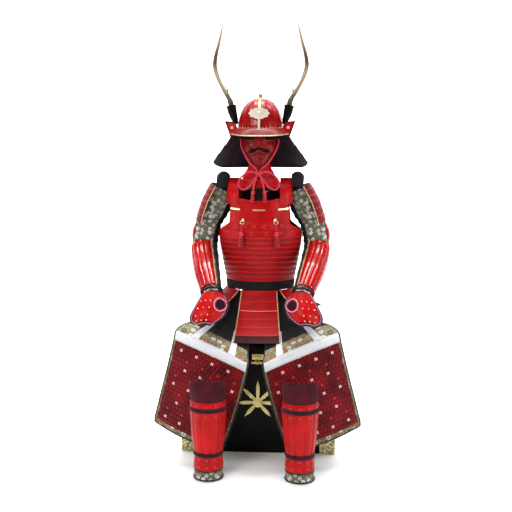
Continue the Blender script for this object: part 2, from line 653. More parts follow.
def tasselParts(line, size, strands=40, seed=3):
    # A head and a skirt of hanging strands: each strand is a thin three-sided tube from the head's
    # rim to the hem, bent by a small sine of its own.
    rng = np.random.default_rng(seed)
    start, end = np.array(line[0], float), np.array(line[-1], float)
    t = np.linspace(0, 1, 9)
    head = curveThrough(line)(t * size["head"])
    parts = [tubeParts(head, size["bulb"] * (0.55 + 0.45 * np.sin(np.pi * np.clip(t, 0.05, 0.95))), 14)]
    turn = np.sort(rng.uniform(0, 2 * np.pi, strands))
    grow = np.sqrt(rng.uniform(0.25, 1, strands))
    length = rng.uniform(0.94, 1.0, strands)
    s = np.linspace(0, 1, 6)
    along = curveThrough(line)(lerp(size["head"] * 0.8, length[:, None], s[None]))
    spread = grow[:, None] * lerp(size["neck"], size["hem"], s[None] ** 0.7)
    wave = 0.8 * np.sin(s[None] * 7 + turn[:, None] * 5) * s[None]
    middle = along + vec((spread + wave) * np.cos(turn[:, None]), (spread - wave) * np.sin(turn[:, None]),
        0 * spread)
    corner = np.arange(4) * 2 * np.pi / 3
    thick = size["strand"] * (1 - 0.35 * s)[None, :, None]
    points = middle[:, :, None] + vec(np.cos(corner), np.sin(corner), 0 * corner)[None, None] * thick[...,
        None]
    one = gridFaces(6, 4)
    faces = (one[None] + np.arange(strands)[:, None, None] * 24).reshape(-1, 4)[:, ::-1]
    uv = np.stack(np.broadcast_arrays(corner[None, None] / 6.3,
        s[None, :, None] * (end - start)[2] / -1000 + 0 * points[..., 0]), axis=-1)
    parts.append((points.reshape(-1, 3), faces, uv.reshape(-1, 2)))
    return joined(parts)


# A smooth line through the points, in steps of equal length
def cordPath(points, count):
    return byLength(curveThrough(points))(np.linspace(0, 1, count))


# The chin cord, its bow and the ends with tassels
def makeCords():
    size = silkCord
    radius = size["radius"]
    u, v = np.array(size["cheek"]).T
    off = 2.4 + faceRelief(-u, v) + 5 + 1.7
    onFace = facePoint(u, v) + off[:, None] * normalsOf(lambda a, b: facePoint(-a, b), -u, v)
    for end, flip in (("left", False), ("right", True)):
        line = cordPath([*onFace, size["meet"]], 24)
        cheek = tube(f"cheek_cord_{end}", line, radius, [redBraid], flip)
        settle(cheek, "red_silk", "chin_cord")

        line = cordPath(size["loop"], 40)
        loop = tube(f"bow_loop_{end}", line, radius, [redBraid], flip)
        settle(loop, "red_silk", "chin_cord")

        line = cordPath(size["end"], 18)
        tail = tube(f"bow_end_{end}", line, radius, [redBraid], flip)
        settle(tail, "red_silk", "chin_cord")
        bushy = {"head": 0.3, "bulb": 9.5, "neck": 6, "hem": 10.5, "strand": 1.3}
        tassel = makePiece(f"bow_tassel_{end}", *tasselParts(size["tassel"], bushy), [redBraid], flip=flip,
            angle=60)
        settle(tassel, "red_silk", "chin_cord")

    t = np.linspace(0, 1, 60)
    turns = []
    for lean, big in ((0.5, 1.0), (-0.6, 0.9), (1.57, 0.7)):  # three turns of cord round each other
        ring = vec(13 * big * np.cos(2 * np.pi * t), 7.5 * np.sin(2 * np.pi * t),
            7 * np.sin(2 * np.pi * t + lean))
        c, s = math.cos(lean), math.sin(lean)
        ring = ring @ np.array([[c, 0, -s], [0, 1, 0], [s, 0, c]]) * (1, 1, 0.75) + (0, -161, 1336)
        ring[-1] = ring[0]
        turns.append(tubeParts(ring, 4.6, 10, (0, 1, 0.3), closed=True))
    knot = makePiece("bow_knot", *joined(turns), [redBraid], angle=60)
    settle(knot, "red_silk", "chin_cord")

    for name, flip in pairs("chest_tassel"):
        full = curveThrough(size["chestTassel"])
        line = full(np.linspace(0, 0.42, 16))
        drop = tube(f"{name}_cord", line, 2.6, [redBraid], flip)
        settle(drop, "red_silk", name)
        wide = {"head": 0.42, "bulb": 13, "neck": 8, "hem": 14, "strand": 1.6}
        end = full(np.linspace(0.36, 1, 5))
        tassel = makePiece(f"{name}_skirt", *tasselParts(end, wide, 60, 5), [redBraid], flip=flip, angle=60)
        settle(tassel, "red_silk", name)


makeCords()
print("cords laid")

# cuirass
torso = [(760, 158, 120), (797, 160, 122), (830, 166, 126), (900, 180, 133), (1000, 197, 140),
    (1040, 201, 141),
         (1120, 197, 138), (1230, 184, 126), (1330, 170, 112)]
waist = {"z": 797, "beltTop": 817, "beltFoot": 776, "beltThick": 5}
cuirass = {
    "lames": 9, "lamesTop": 1032, "chestLames": 2, "chestFoot": 1102, "frontTop": 1232, "backTop": 1262,
    "sideAngle": 89.93, "chestAngle": 46, "neckDip": 26,
    "profile": [(0.01, 0.4), (0.12, 0.7), (0.4, 1.1), (0.66, 1.8), (0.8, 2.7), (0.88, 3.4), (0.94, 3.6),
        (0.985, 3.1), (0.997, 1.6)],
    "braid": {"step": 7.4, "width": 6.6, "height": 10.5, "thick": 1.5},
}


# Round the body: sine and cosine of the angle times the two half widths at that height
def torsoPoint(angle, z):
    return vec(column(torso, z) * np.sin(angle), -column(torso, z, 2) * np.cos(angle), z)


def cuirassPoint(u, z, top):  # the armholes draw the sides in, and the neckline dips in the middle
    reach = np.radians(lerp(cuirass["sideAngle"], cuirass["chestAngle"], smooth(z, 1032, 1102)))
    rise = np.clip((z - cuirass["chestFoot"]) / (top - cuirass["chestFoot"]), 0, 1)
    return torsoPoint(u * reach, z - cuirass["neckDip"] * rise**2 * (1 - u * u))


def braidRows(at, edges, place, spec, halfTurn, lift, lean=0.0):
    # One crowned braid after another along each lame; the count follows the lame's length.
    parts = []
    for low, high in zip(edges[:-1], edges[1:]):
        v = lerp(low, high, place)
        line = at(np.linspace(-halfTurn, halfTurn, 60), np.full(60, v))
        count = int(np.linalg.norm(np.diff(line, axis=0), axis=1).sum() / spec["step"])
        u = (np.arange(count) + 0.5) / count * 2 * halfTurn - halfTurn
        template = domeTemplate(spec["width"], spec["height"], spec["thick"], 5, 5, 0.5, turn=lean)
        parts.append(scattered(framesOn(at, u, np.full(count, v), lift), template))
    return joined(parts)


# Front and back of the body armour with their straps
def makeCuirass():
    size = cuirass
    edges = np.concatenate([np.linspace(820, 1032, 10), [1067, 1102]])
    down, heights = lameRows(edges, size["profile"])
    for side, facing, top in (("front", 1, size["frontTop"]), ("back", -1, size["backTop"])):
        def at(u, z, facing=facing, top=top):
            return cuirassPoint(u * facing, z, top) * (1, facing, 1)

        upper = np.linspace(1104, top, 22)
        rows = np.concatenate([[797, 806, 819], down, upper])
        lift = np.concatenate([[0, 0, 0], heights, np.full(22, 1.0)])
        lift[-3:] += [0.6, 1.4, 0.6]
        rim = 1.3 * smooth(np.abs(np.linspace(-1, 1, 73)), 0.955, 0.985)
        lifts = 2.4 + lift[:, None] + rim[None, :] * (rows[:, None] > 1040)
        body = shell(f"cuirass_{side}_plates", at, np.linspace(-1, 1, 73), rows, lifts, 0,
            [scarlet, maroon, crimson])
        settle(body, "red_lacquer", f"cuirass_{side}")

        lacing = makePiece(
            f"cuirass_{side}_lacing", *braidRows(at, edges[:10], 0.42, size["braid"], 0.985, 3.6),
                [crimsonBraid], merge=False
        )
        settle(lacing, "red_silk")
        row = np.linspace(-0.97, 0.97, 58)
        line = [tubeParts(at(row, np.full(58, z)) + 5.6 * normalsOf(at, row, np.full(58, z)), 1.5, 6,
            (0, 0, 1)) for z in edges[1:10] - 1.5]
        settle(makePiece(f"cuirass_{side}_edge_braid", *joined(line), [roseBraid], angle=60), "red_silk")

    def front(u, z):
        return cuirassPoint(u, z, size["frontTop"])

    # lacing knots and ring studs on the plain upper plate
    spots = np.array([(u, z) for z in (1084, 1050) for u in (-0.75, -0.45, -0.15, 0.15, 0.45, 0.75)])
    cross = joined([domeTemplate(5, 24, 2.2, 5, 7, 0.5, turn=a) for a in (0.75, -0.75)])
    settle(makePiece("chest_cross_knots",
        *scattered(framesOn(front, spots[:, 0] * 0.82, spots[:, 1], 4.6), cross), [roseBraid], merge=False),
        "red_silk")
    turn = np.linspace(0, 2 * np.pi, 33)
    for name, flip in pairs("ring_stud"):
        boss = scattered(framesOn(front, [0.5], [1112], 3.4), buttonTemplate(9, 5, 16, 6))
        spot, across, up, out = framesOn(front, [0.5], [1104], 8.5)
        ring = spot + 9.5 * (np.cos(turn)[:, None] * across + np.sin(turn)[:, None] * up) + 1.5 * out
        ring[-1] = ring[0]
        made = makePiece(name, *joined([boss, tubeParts(ring, 1.9, 10, tuple(out[0]), closed=True)]),
            [paleGilt], flip=flip, angle=60)
        settle(made, "gilt")

    # straps over the shoulders, from inside the back plate down onto the chest
    strap = {"inner": 96, "outer": 152, "thick": 4, "rise": 96, "spring": 1212, "hang": 24, "end": 0.88}

    def onStrap(u, v):
        x = lerp(strap["outer"], strap["inner"], u)

        def onPlate(z, lift):
            turn = np.arcsin(x / column(torso, z))
            return torsoPoint(turn, z + 0 * x) + lift * normalsOf(torsoPoint, turn, z + 0 * x)

        frontAt = onPlate(strap["spring"], 4.75)
        low = onPlate(strap["spring"] - strap["hang"], 4.75)
        back = onPlate(strap["spring"], -0.8) * (1, -1, 1)
        bend = np.pi * np.clip(v, 0, strap["end"]) / strap["end"]
        arch = lerp(back, frontAt, ((1 - np.cos(bend)) / 2)[..., None])
        arch[..., 2] = strap["spring"] + strap["rise"] * np.sin(bend)
        fall = np.clip((v - strap["end"]) / (1 - strap["end"]), 0, 1)[..., None]
        return np.where(fall > 0, lerp(frontAt, low, fall), arch)

    for name, flip in pairs("shoulder_strap"):
        us = np.linspace(0, 1, 11)
        crown = 1.4 * (1 - (2 * us - 1) ** 4)[None] * np.ones((40, 1))
        made = shell(name, onStrap, us,
            np.concatenate([np.linspace(0.004, 0.87, 34), np.linspace(0.89, 0.999, 6)]), 2.6 + crown, 0,
            [scarlet], flip=flip)
        settle(made, "red_lacquer", "cuirass_back")


makeCuirass()
print("cuirass laced")


# The sash round the waist: one turn with folds and ribs
def makeBelt():
    def at(u, z):
        return torsoPoint(u * 2 * np.pi, z)

    us, vs = np.linspace(0, 1, 121), np.linspace(776, 817, 15)
    u, v = np.meshgrid(us, vs)
    fold = 0.8 * np.sin(2 * np.pi * (3 * u + (v - 776) / 55)) * np.sin(np.pi * (v - 776) / 41)
    crown = 5.2 * (1 - np.abs((v - 796.5) / 20.5) ** 4 * 0.55)
    ribs = 0.5 * np.cos((v - 776) * 2 * np.pi / 8.2)
    belt = shell("waist_sash", at, us, vs, 2.75 + crown + fold * 0.6 + ribs, 2.75, [blackCloth], ring=True)
    settle(belt, "black_silk", "waist_belt")
    declareSheet(belt, "stretched", "cuirass_front_plates", "cuirass_back_plates")


makeBelt()
print("belt tied")

# skirt panels
panels = {
    "sag": 14, "flatHem": 0.8, "off": 5,
    "profile": [(0.0, 0.4), (0.02, 2.6), (0.06, 3.4), (0.12, 3.5), (0.22, 2.7), (0.45, 1.7), (0.75, 0.9),
        (0.985, 0.4)],
    "list": [  # node, middle, top, hem, run, drop, lames
        ("tasset_front", 0, 88, 118, 192, 214, 6),
        ("tasset_front_side", 150, 58, 92, 150, 72, 3),
        ("tasset_side", 264, 55, 74, 92, 190, 5),
        ("tasset_back", None, 96, 124, 70, 204, 5),
    ],
    "braid": {"step": 7.0, "width": 6.2, "height": 15, "thick": 1.5},
}
waistAngles = np.linspace(0, np.pi, 91)
waistLine = torsoPoint(waistAngles, np.full(91, 797))
waistArc = np.concatenate([[0], np.cumsum(np.linalg.norm(np.diff(waistLine, axis=0), axis=1))])


def panelSurface(middle, top, hem, run, drop):
    # A panel's line round the waist is carried outwards and down, flattening towards its hem and sagging a little.
    def angleOf(arc):
        over = arc > waistArc[-1]
        turn = np.sign(arc) * np.interp(np.abs(np.where(over, 2 * waistArc[-1] - arc, arc)), waistArc,
            waistAngles)
        return np.where(over, 2 * np.pi - turn, turn)

    centre = torsoPoint(angleOf(np.float64(middle)), 797.0)
    facing = centre / (160**2, 122**2, 1e12)
    facing = facing / np.linalg.norm(facing)
    steep = run / math.hypot(run, drop + panels["sag"] * math.pi)
    high = waist["beltFoot"] - 0.35 - 2.8 * steep

    def at(u, v):
        point = torsoPoint(angleOf(middle + u * lerp(top, hem, v)), np.full(np.shape(u), 797.0))
        behind = (centre - point) @ facing
        out = panels["off"] + run * v + panels["flatHem"] * v * behind
        point = point + out[..., None] * facing
        point[..., 2] = high - drop * v - panels["sag"] * np.sin(np.pi * v)
        return point

    return at


# Skirt panels, each laced from lames
def makePanels():
    for name, middle, top, hem, run, drop, lames in panels["list"]:
        middle = waistArc[-1] if middle is None else middle
        plain = panelSurface(middle, top, hem, run, drop)

        def at(u, v, plain=plain):
            return plain(-u, v)

        edges = np.linspace(0.02, 0.997, lames + 1)
        down, heights = lameRows(edges, panels["profile"])
        rows = np.concatenate([[0.003], down])
        us = np.linspace(-0.998, 0.998, 49)
        rim = 1.2 * smooth(np.abs(us), 0.955, 0.985)
        lift = 2.4 + np.concatenate([[0.4], heights])[:, None] + rim[None]
        for made, flip in [(name, False)] if middle in (0, waistArc[-1]) else pairs(name):
            body = shell(f"{made}_lames", at, us, rows, lift, 0, [scarlet, maroon, crimson], flip=flip)
            body.data.materials.append(maroon)  # the lowest lame is left dark
            cols = len(us) - 1
            which = np.zeros(len(body.data.polygons), np.int32)
            body.data.polygons.foreach_get("material_index", which)
            last = (len(rows) - 1 - len(panels["profile"])) * cols
            which[last : (len(rows) - 1) * cols] = 3
            body.data.polygons.foreach_set("material_index", which)
            settle(body, "red_lacquer", made)
            rowsOf = braidRows(at, edges[:-1], 0.62, panels["braid"], 0.95, 3.6)
            settle(makePiece(f"{made}_lacing", *rowsOf, [crimsonBraid], flip=flip, merge=False), "red_silk")
            v = np.linspace(0.02, 0.99, 50)
            side = [
                tubeParts(at(np.full(50, s), v) + 5.2 * normalsOf(at, np.full(50, s), v), 2.5, 8,
                    (0, 1, 0.3), wide=0.7)
                for s in (-0.965, 0.965)
            ]
            settle(makePiece(f"{made}_edging", *joined(side), [goldBraid], flip=flip, angle=60), "red_silk")
            u = np.linspace(-0.96, 0.96, 40)
            line = [
                tubeParts(at(u, np.full(40, e)) + 6.3 * normalsOf(at, u, np.full(40, e)), 1.4, 6, (0, 0, 1))
                for e in edges[:-1] + 0.012
            ]
            if made == "tasset_front":  # one row is picked out in a paler silk
                pale = line.pop(2)
                settle(makePiece("tasset_front_pale_braid", *pale, [pinkBraid], angle=60), "red_silk")
            settle(makePiece(f"{made}_edge_braid", *joined(line), [roseBraid], flip=flip, angle=60),
                "red_silk")


makePanels()
print("skirt panels hung")

# sleeves and what is sewn on them
arm = {
    "line": [(180, 4, 1262), (215, 8, 1184), (257, 14, 1090), (275, 10, 988), (264, -56, 918),
        (244, -150, 866),
             (217, -248, 806), (206, -300, 772)],
    "size": [(0, 64), (0.14, 70), (0.27, 60), (0.44, 60), (0.58, 61), (0.75, 56), (0.92, 46), (1, 42)],
    "rows": 14,
    "creases": [  # where along, where round, length along, half round, depth
        (0.07, 0.42, 0.022, 0.2, 3.4), (0.125, 0.55, 0.02, 0.22, 3.2), (0.18, 0.45, 0.018, 0.2, 3.6),
        (0.235, 0.56, 0.017, 0.22, 2.8), (0.29, 0.47, 0.018, 0.2, 3.2), (0.345, 0.55, 0.02, 0.2, 3.4),
        (0.4, 0.5, 0.018, 0.17, 3.0), (0.46, 0.6, 0.016, 0.16, 2.4), (0.56, 0.52, 0.018, 0.14, 2.0),
        (0.66, 0.58, 0.016, 0.12, 1.8), (0.77, 0.5, 0.016, 0.12, 1.6), (0.86, 0.56, 0.014, 0.12, 1.5),
    ],
}
armLine = byLength(curveThrough(arm["line"]))


def sleevePoint(turn, along):
    # Rings square to the arm's line; turn 0 looks outwards and a quarter turn looks to the front.
    e = 1e-4
    tangent = unit(armLine(along + e) - armLine(along - e))
    outward = unit(np.array([1.0, 0, 0]) - tangent * tangent[..., :1])
    upward = np.cross(tangent, outward)
    radius = column(arm["size"], along)[..., None]
    a = (np.asarray(turn) * 2 * np.pi)[..., None]
    return armLine(along) + radius * (np.cos(a) * outward + np.sin(a) * upward)


def creases(turn, along, table):  # soft uneven ridges with a trough beside each, slanting a little
    total = np.zeros(np.shape(turn))
    for place, middle, length, half, depth in table:
        away = (turn - middle + 0.5) % 1 - 0.5
        run = (along - place - 0.03 * away) / length
        total += depth * (np.exp(-(run**2)) - 0.55 * np.exp(-((run - 1.7) ** 2))) * np.exp(-((away / half) ** 2))
    return total


def makeSleeves():
    us, vs = np.linspace(0, 1, 81), np.linspace(0.002, 0.998, 150)
    u, v = np.meshgrid(us, vs)
    fold = creases(u, v, arm["creases"])
    for name, flip in pairs("sleeve"):
        made = shell(f"{name}_brocade", sleevePoint, us, vs, 1.9 + fold, fold,
            [greyBrocade, undyed, blackBraid, blackCloth],
                     ring=True, flip=flip, angle=80, patch=lambda turn, along: (turn > 0.37) & (turn < 0.7))
        settle(made, "brocade", name)
        declareSheet(made, "hung", "stand")
        # black binding along the seam that runs down the arm and round both mouths
        run = np.linspace(0.01, 0.99, 90)
        seams = [tubeParts(sleevePoint(np.full(90, t),
            run) + (2.6 + creases(np.full(90, t), run, arm["creases"]))[:, None] * normalsOf(sleevePoint,
            np.full(90, t), run), 2.3, 8, (1, 0, 0))
                 for t in (0.37, 0.7)]
        turn = np.linspace(0, 1, 61)
        mouths = []
        for v0 in (0.004, 0.996):
            ring = sleevePoint(turn, np.full(61, v0))
            ring[-1] = ring[0]
            mouths.append(tubeParts(ring, 2.6, 10, (0.2, -0.5, 0.85) if v0 > 0.5 else (0.4, 0, 0.9),
                closed=True))
        settle(makePiece(f"{name}_binding", *joined(seams + mouths), [blackBraid], flip=flip, angle=60),
            "black_silk")

    # forearm: long splints with rounded backs, a gilt rivet at each end
    plate = {"from": 0.436, "to": 0.955, "turnFrom": -2 / 12, "turnTo": 4 / 12, "splints": 6}

    def forearmLift(turn, along):
        count = plate["splints"]
        inside = (turn - plate["turnFrom"]) / (plate["turnTo"] - plate["turnFrom"]) * count % 1
        rib = np.clip(np.sin(np.pi * inside), 0, 1) ** 0.55
        groove = np.clip(np.minimum(inside, 1 - inside) / 0.045, 0, 1)
        body = smooth(along, 0.45, 0.47) * (1 - smooth(along, 0.93, 0.945))
        return 0.5 + body * (3.4 * rib - 0.5 * (1 - groove))

    for name, flip in pairs("forearm_plate"):
        us = np.linspace(plate["turnFrom"], plate["turnTo"], 73)
        vs = np.linspace(plate["from"], plate["to"], 60)
        u, v = np.meshgrid(us, vs)
        made = shell(name + "_splints", sleevePoint, us, vs, 4.75 + forearmLift(u, v), 2.3,
            [glossScarlet, maroon, maroon], flip=flip)
        settle(made, "red_lacquer", name)
        u, v = np.meshgrid(plate["turnFrom"] + (np.arange(6) + 0.5) / 36 * 3, [0.462, 0.935])
        heads = scattered(framesOn(sleevePoint, u, v, 4.75 + 2.4), buttonTemplate(3.2, 2.2))
        settle(makePiece(name + "_rivets", *heads, [gilt], flip=flip), "gilt")
        edge = [tubeParts(sleevePoint(np.full(60, t),
            np.linspace(0.44, 0.95, 60)) + 5.0 * normalsOf(sleevePoint, np.full(60, t),
            np.linspace(0.44, 0.95, 60)), 2.2, 8, (1, 0, 0))
                for t in (plate["turnFrom"] - 0.004, plate["turnTo"] + 0.004)]
        settle(makePiece(name + "_edging", *joined(edge), [goldBraid], flip=flip, angle=60), "red_silk")
        # wrist ties, two flat cords round the lower forearm
        turn = np.linspace(0, 1, 61)
        ties = []
        for v0 in (0.945, 0.972):
            ring = sleevePoint(turn, np.full(61, v0)) + 4.9 * normalsOf(sleevePoint, turn, np.full(61, v0))
            ring[-1] = ring[0]
            ties.append(tubeParts(ring, 3.6, 10, (0.2, -0.5, 0.85), closed=True))
        settle(makePiece(name + "_wrist_ties", *joined(ties), [plumCloth], flip=flip, angle=60),
            "black_silk")

    for name, flip in pairs("elbow_plate"):
        us, vs = np.linspace(-2 / 12, 1 / 12, 49), np.linspace(0.305, 0.42, 33)
        u, v = np.meshgrid(us, vs)
        du, dv = (u + 0.5 / 12) / (1.5 / 12), (v - 0.3625) / 0.0575
        high = 6.5 * np.clip(1 - du**2 * 0.8 - dv**2, 0,
            1) + 1.6 * np.cos(10 * np.arctan2(dv, du)) * np.clip(1 - (du**2 + dv**2), 0, 1)
        made = shell(name + "_dome", sleevePoint, us, vs, 4.75 + high, 2.3, [glossScarlet, maroon, maroon],
            flip=flip)
        settle(made, "red_lacquer", name)
        star = [(t, v0) for t in (-1.5 / 12, -0.5 / 12, 0.5 / 12) for v0 in (0.325, 0.4)]
        spots = np.array(star)
        cross = joined([domeTemplate(4, 17, 2, 5, 7, 0.5, turn=a) for a in (0.75, -0.75)])
        settle(makePiece(name + "_knots",
            *scattered(framesOn(sleevePoint, spots[:, 0], spots[:, 1], 6.0), cross), [pinkBraid], flip=flip,
            merge=False), "red_silk")


makeSleeves()
print("sleeves filled")


def makeShoulderGuards():
    guard = {"lames": 5, "half": 104, "bow": 40, "from": 0.01, "to": 4 / 14,
        "braid": {"step": 7.0, "width": 6.2, "height": 19, "thick": 1.5}}

    def at(u, v):
        sides = guard["bow"] * u * u
        zero = np.zeros(np.shape(u))
        return sleevePoint(zero, v + zero) + vec(2.35 - sides, -guard["half"] * u, 0.8 - 0.25 * sides)

    profile = [(0.0, 0.4), (0.02, 2.6), (0.06, 3.2), (0.14, 3.1), (0.3, 2.3), (0.6, 1.3), (0.985, 0.4)]
    edges = np.linspace(0.04, guard["to"], guard["lames"] + 1)
    down, heights = lameRows(edges, profile)
    rows = np.concatenate([[0.01, 0.024, 0.037], down])
    us = np.linspace(-1, 1, 57)
    rim = 1.3 * smooth(np.abs(us), 0.955, 0.985)
    lift = 2.4 + np.concatenate([[0.4, 1.2, 0.6], heights])[:, None] + rim[None]
    for name, flip in pairs("shoulder_guard"):
        body = shell(name + "_lames", at, us, rows, lift, 0, [crimson, plumBlack, maroon], flip=flip)
        settle(body, "dark_red_lacquer", name)
        lacing = braidRows(at, edges, 0.6, guard["braid"], 0.95, 3.3)
        settle(makePiece(name + "_lacing", *lacing, [crimsonBraid], flip=flip, merge=False), "red_silk")
        v = np.linspace(0.014, guard["to"] - 0.003, 40)
        side = [tubeParts(at(np.full(40, s), v) + 4.4 * normalsOf(at, np.full(40, s), v), 2.6, 8,
            (0, 1, 0)) for s in (-0.985, 0.985)]
        u = np.linspace(-0.98, 0.98, 40)
        lines = [tubeParts(at(u, np.full(40, e)) + 5.8 * normalsOf(at, u, np.full(40, e)), 1.4, 6,
            (0, 0, 1)) for e in edges[:-1] + 0.004]
        settle(makePiece(name + "_edging", *joined(side), [goldBraid], flip=flip, angle=60), "red_silk")
        settle(makePiece(name + "_edge_braid", *joined(lines), [roseBraid], flip=flip, angle=60),
            "red_silk")


# Padded rolls over the shoulders
def makeShoulderRolls():
    size = {"inner": 153.5, "outer": 209, "half": 67, "topX": 180, "topZ": 1332.9, "thick": 9}

    def at(u, v):
        x = lerp(size["inner"], size["outer"], u)
        away = (x - size["topX"]) / (size["outer"] - size["topX"])
        return vec(x, size["half"] * v, size["topZ"] - 66 * v * v - 20 * away**2 * (1 - v * v))

    us, vs = np.linspace(0, 1, 33), np.linspace(-1, 1, 57)
    u, v = np.meshgrid(us, vs)
    crown = ((1 - np.abs(2 * u - 1) ** 4) * (1 - np.abs(v) ** 6)) ** 0.5
    pucker = 0.7 * np.cos(v * 15 * np.pi) * smooth(np.abs(2 * u - 1), 0.35, 0.95)
    for name, flip in pairs("shoulder_roll"):
        pad = shell(name + "_pad", at, us, vs, 4.2 + 5.6 * crown + pucker * crown, 4.2 - 12 * crown,
            [blackCloth], flip=flip, angle=80)
        settle(pad, "black_lacquer", name)


# Plates over the backs of the hands
def makeHandGuards():
    line = curveThrough([(202, -331, 806), (208, -366, 764), (216, -396, 716), (226, -410, 668)])
    breadths = [(0, 50, 46), (0.3, 80, 66), (0.6, 74, 84), (0.8, 52, 78), (0.93, 30, 48), (1, 14, 20)]
    spine = curveThrough([(b[0], b[1], b[2]) for b in breadths])(np.linspace(0, 1, 200))

    def at(u, v):
        inner, outer = (np.interp(v, spine[:, 0], spine[:, k]) for k in (1, 2))
        blend = smooth(u, -0.08, 0.08)
        breadth = lerp(outer, inner, blend)
        bow = breadth * u * u
        return line(v) + vec(-breadth * u, 0.45 * bow, -0.31 * bow)

    us, vs = np.linspace(-1, 1, 65), np.linspace(0.002, 0.998, 65)
    u, v = np.meshgrid(us, vs)
    # a dome over the knuckles, a raised tongue round the thumb loop
    thumb = np.hypot((u - 0.56) / 0.3, (v - 0.38) / 0.17)
    swell = 3.5 * np.exp(-((u + 0.25) / 0.5) ** 2 - ((v - 0.6) / 0.25) ** 2) + 2.2 * np.exp(-((thumb - 1.05) / 0.22) ** 2) - 1.4 * np.exp(-(thumb**4))
    turn = np.linspace(0, 2 * np.pi, 61)
    for name, flip in pairs("hand_guard"):
        plate = shell(name + "_plate", at, us, vs, 2.4 + swell, 0, [scarlet, plumBlack, maroon, crimson],
            flip=flip,
                      patch=lambda across, down: (np.abs(across) > 0.8) | (down > 0.86))
        settle(plate, "red_lacquer", name)
        # the loop's dark opening, its pale edging, and the two bindings of the outline
        r, a = np.meshgrid(np.linspace(1e-3, 0.86, 6), turn)
        uu, vv = 0.56 + 0.3 * r * np.cos(a), 0.38 + 0.17 * r * np.sin(a)
        patch = at(uu, vv) + (1.9 + 1.0 * (1 - r**2))[..., None] * normalsOf(at, uu, vv)
        grid = patch.reshape(-1, 3), gridFaces(*uu.shape), np.stack([uu, vv], -1).reshape(-1, 2)
        settle(makePiece(name + "_thumb", *grid, [plumBlack], flip=flip), "black_silk")
        ring = at(0.56 + 0.32 * np.cos(turn), 0.38 + 0.18 * np.sin(turn)) + 4.6 * normalsOf(at,
            0.56 + 0.32 * np.cos(turn), 0.38 + 0.18 * np.sin(turn))
        ring[-1] = ring[0]
        settle(makePiece(name + "_thumb_edging", *tubeParts(ring, 2.3, 10, (0, 1, 0), closed=True),
            [lilacBraid], flip=flip, angle=60), "red_silk")
        side = np.linspace(0.02, 0.98, 60)
        across = np.linspace(-1, 1, 40)
        border = np.concatenate([at(np.full(60, -0.985), side), at(across * 0.985, np.full(40, 0.985)),
            at(np.full(60, 0.985), side[::-1])])
        border = byLength(curveThrough(border[::4]))(np.linspace(0, 1, 160))
        settle(makePiece(name + "_border", *tubeParts(border, 3.4, 10, (0, 1, 0.2)), [blackBraid],
            flip=flip, angle=60), "black_silk")
        inset = np.concatenate([at(np.full(60, -0.9), side * 0.96), at(across * 0.9, np.full(40, 0.945)),
            at(np.full(60, 0.9), side[::-1] * 0.96)])
        inset = byLength(curveThrough(inset[::4]))(np.linspace(0, 1, 160)) + (0, -3.6, 1.2)
        settle(makePiece(name + "_inner_border", *tubeParts(inset, 1.2, 8, (0, 1, 0.2)), [lilacBraid],
            flip=flip, angle=60), "red_silk")
        u2, v2 = np.meshgrid([-0.62, -0.3, 0.02], [0.3, 0.5, 0.7, 0.86])
        heads = scattered(framesOn(at, u2, v2, 4.6), buttonTemplate(3.0, 2.2))
        settle(makePiece(name + "_rivets", *heads, [paleGilt], flip=flip), "gilt")


makeShoulderGuards()
makeShoulderRolls()
makeHandGuards()
print("shoulders and hands dressed")

# thigh guards
thigh = {
    "inner": [(50, -150, 718), (45, -250, 584), (36, -366, 508), (32, -404, 487), (38, -411, 450),
        (68, -420, 330), (106, -430, 210), (150, -440, 92)],
    "outer": [(160, -62, 714), (285, -138, 634), (348, -252, 632), (378, -288, 612), (387, -295, 572),
        (418, -300, 442), (452, -304, 310), (486, -306, 174)],
    "crown": [(0, -2, 4), (0, -4, 4), (0, -10, 8), (0, -20, 14), (0, -24, 10), (0, -26, 4), (0, -26, 0),
        (0, -24, -12)],
    "band": (6 / 14, 8 / 14), "edge": 0.035, "fieldEnd": 0.972,
    "scale": {"rows": 19, "columns": 17, "thick": 3.2},
    "strips": [(0.24, 0.33), (0.73, 0.82)],
    "folds": [(0.12, 0.16, 3.2), (0.36, 0.12, 2.6), (0.52, 0.13, 3.0), (0.68, 0.1, 2.2), (0.88, 0.13, 2.8)],
}
thighLines = [curveThrough(thigh[k]) for k in ("inner", "outer", "crown")]


def thighPoint(across, v):  # across runs from the outer edge to the inner one, crowned as 4u(1 - u)
    u = (1 - np.asarray(across, float))[..., None]
    inner, outer, crown = (line(v + 0 * u[..., 0]) for line in thighLines)
    above = np.minimum(v, 0)[..., None] * vec(800 * u[..., 0] - 35, -700,
        -938)  # straight on, up under the cuirass
    return lerp(inner, outer, u) + crown * 4 * u * (1 - u) + above


def thighFolds(across, v):  # soft pleats over the lap, dying out under the band, and a curling hem
    lap = smooth(v, 0.04, 0.16) * (1 - smooth(v, 0.3, 0.43))
    pleats = sum(d * np.exp(-(((across - m - 0.05 * np.sin(5 * v)) / (w * 0.45)) ** 2)) for m, w,
        d in thigh["folds"])
    wander = 0.9 * np.sin(9 * across + 4 * v) * np.sin(7 * v)
    return lap * (pleats + wander * 0.7)


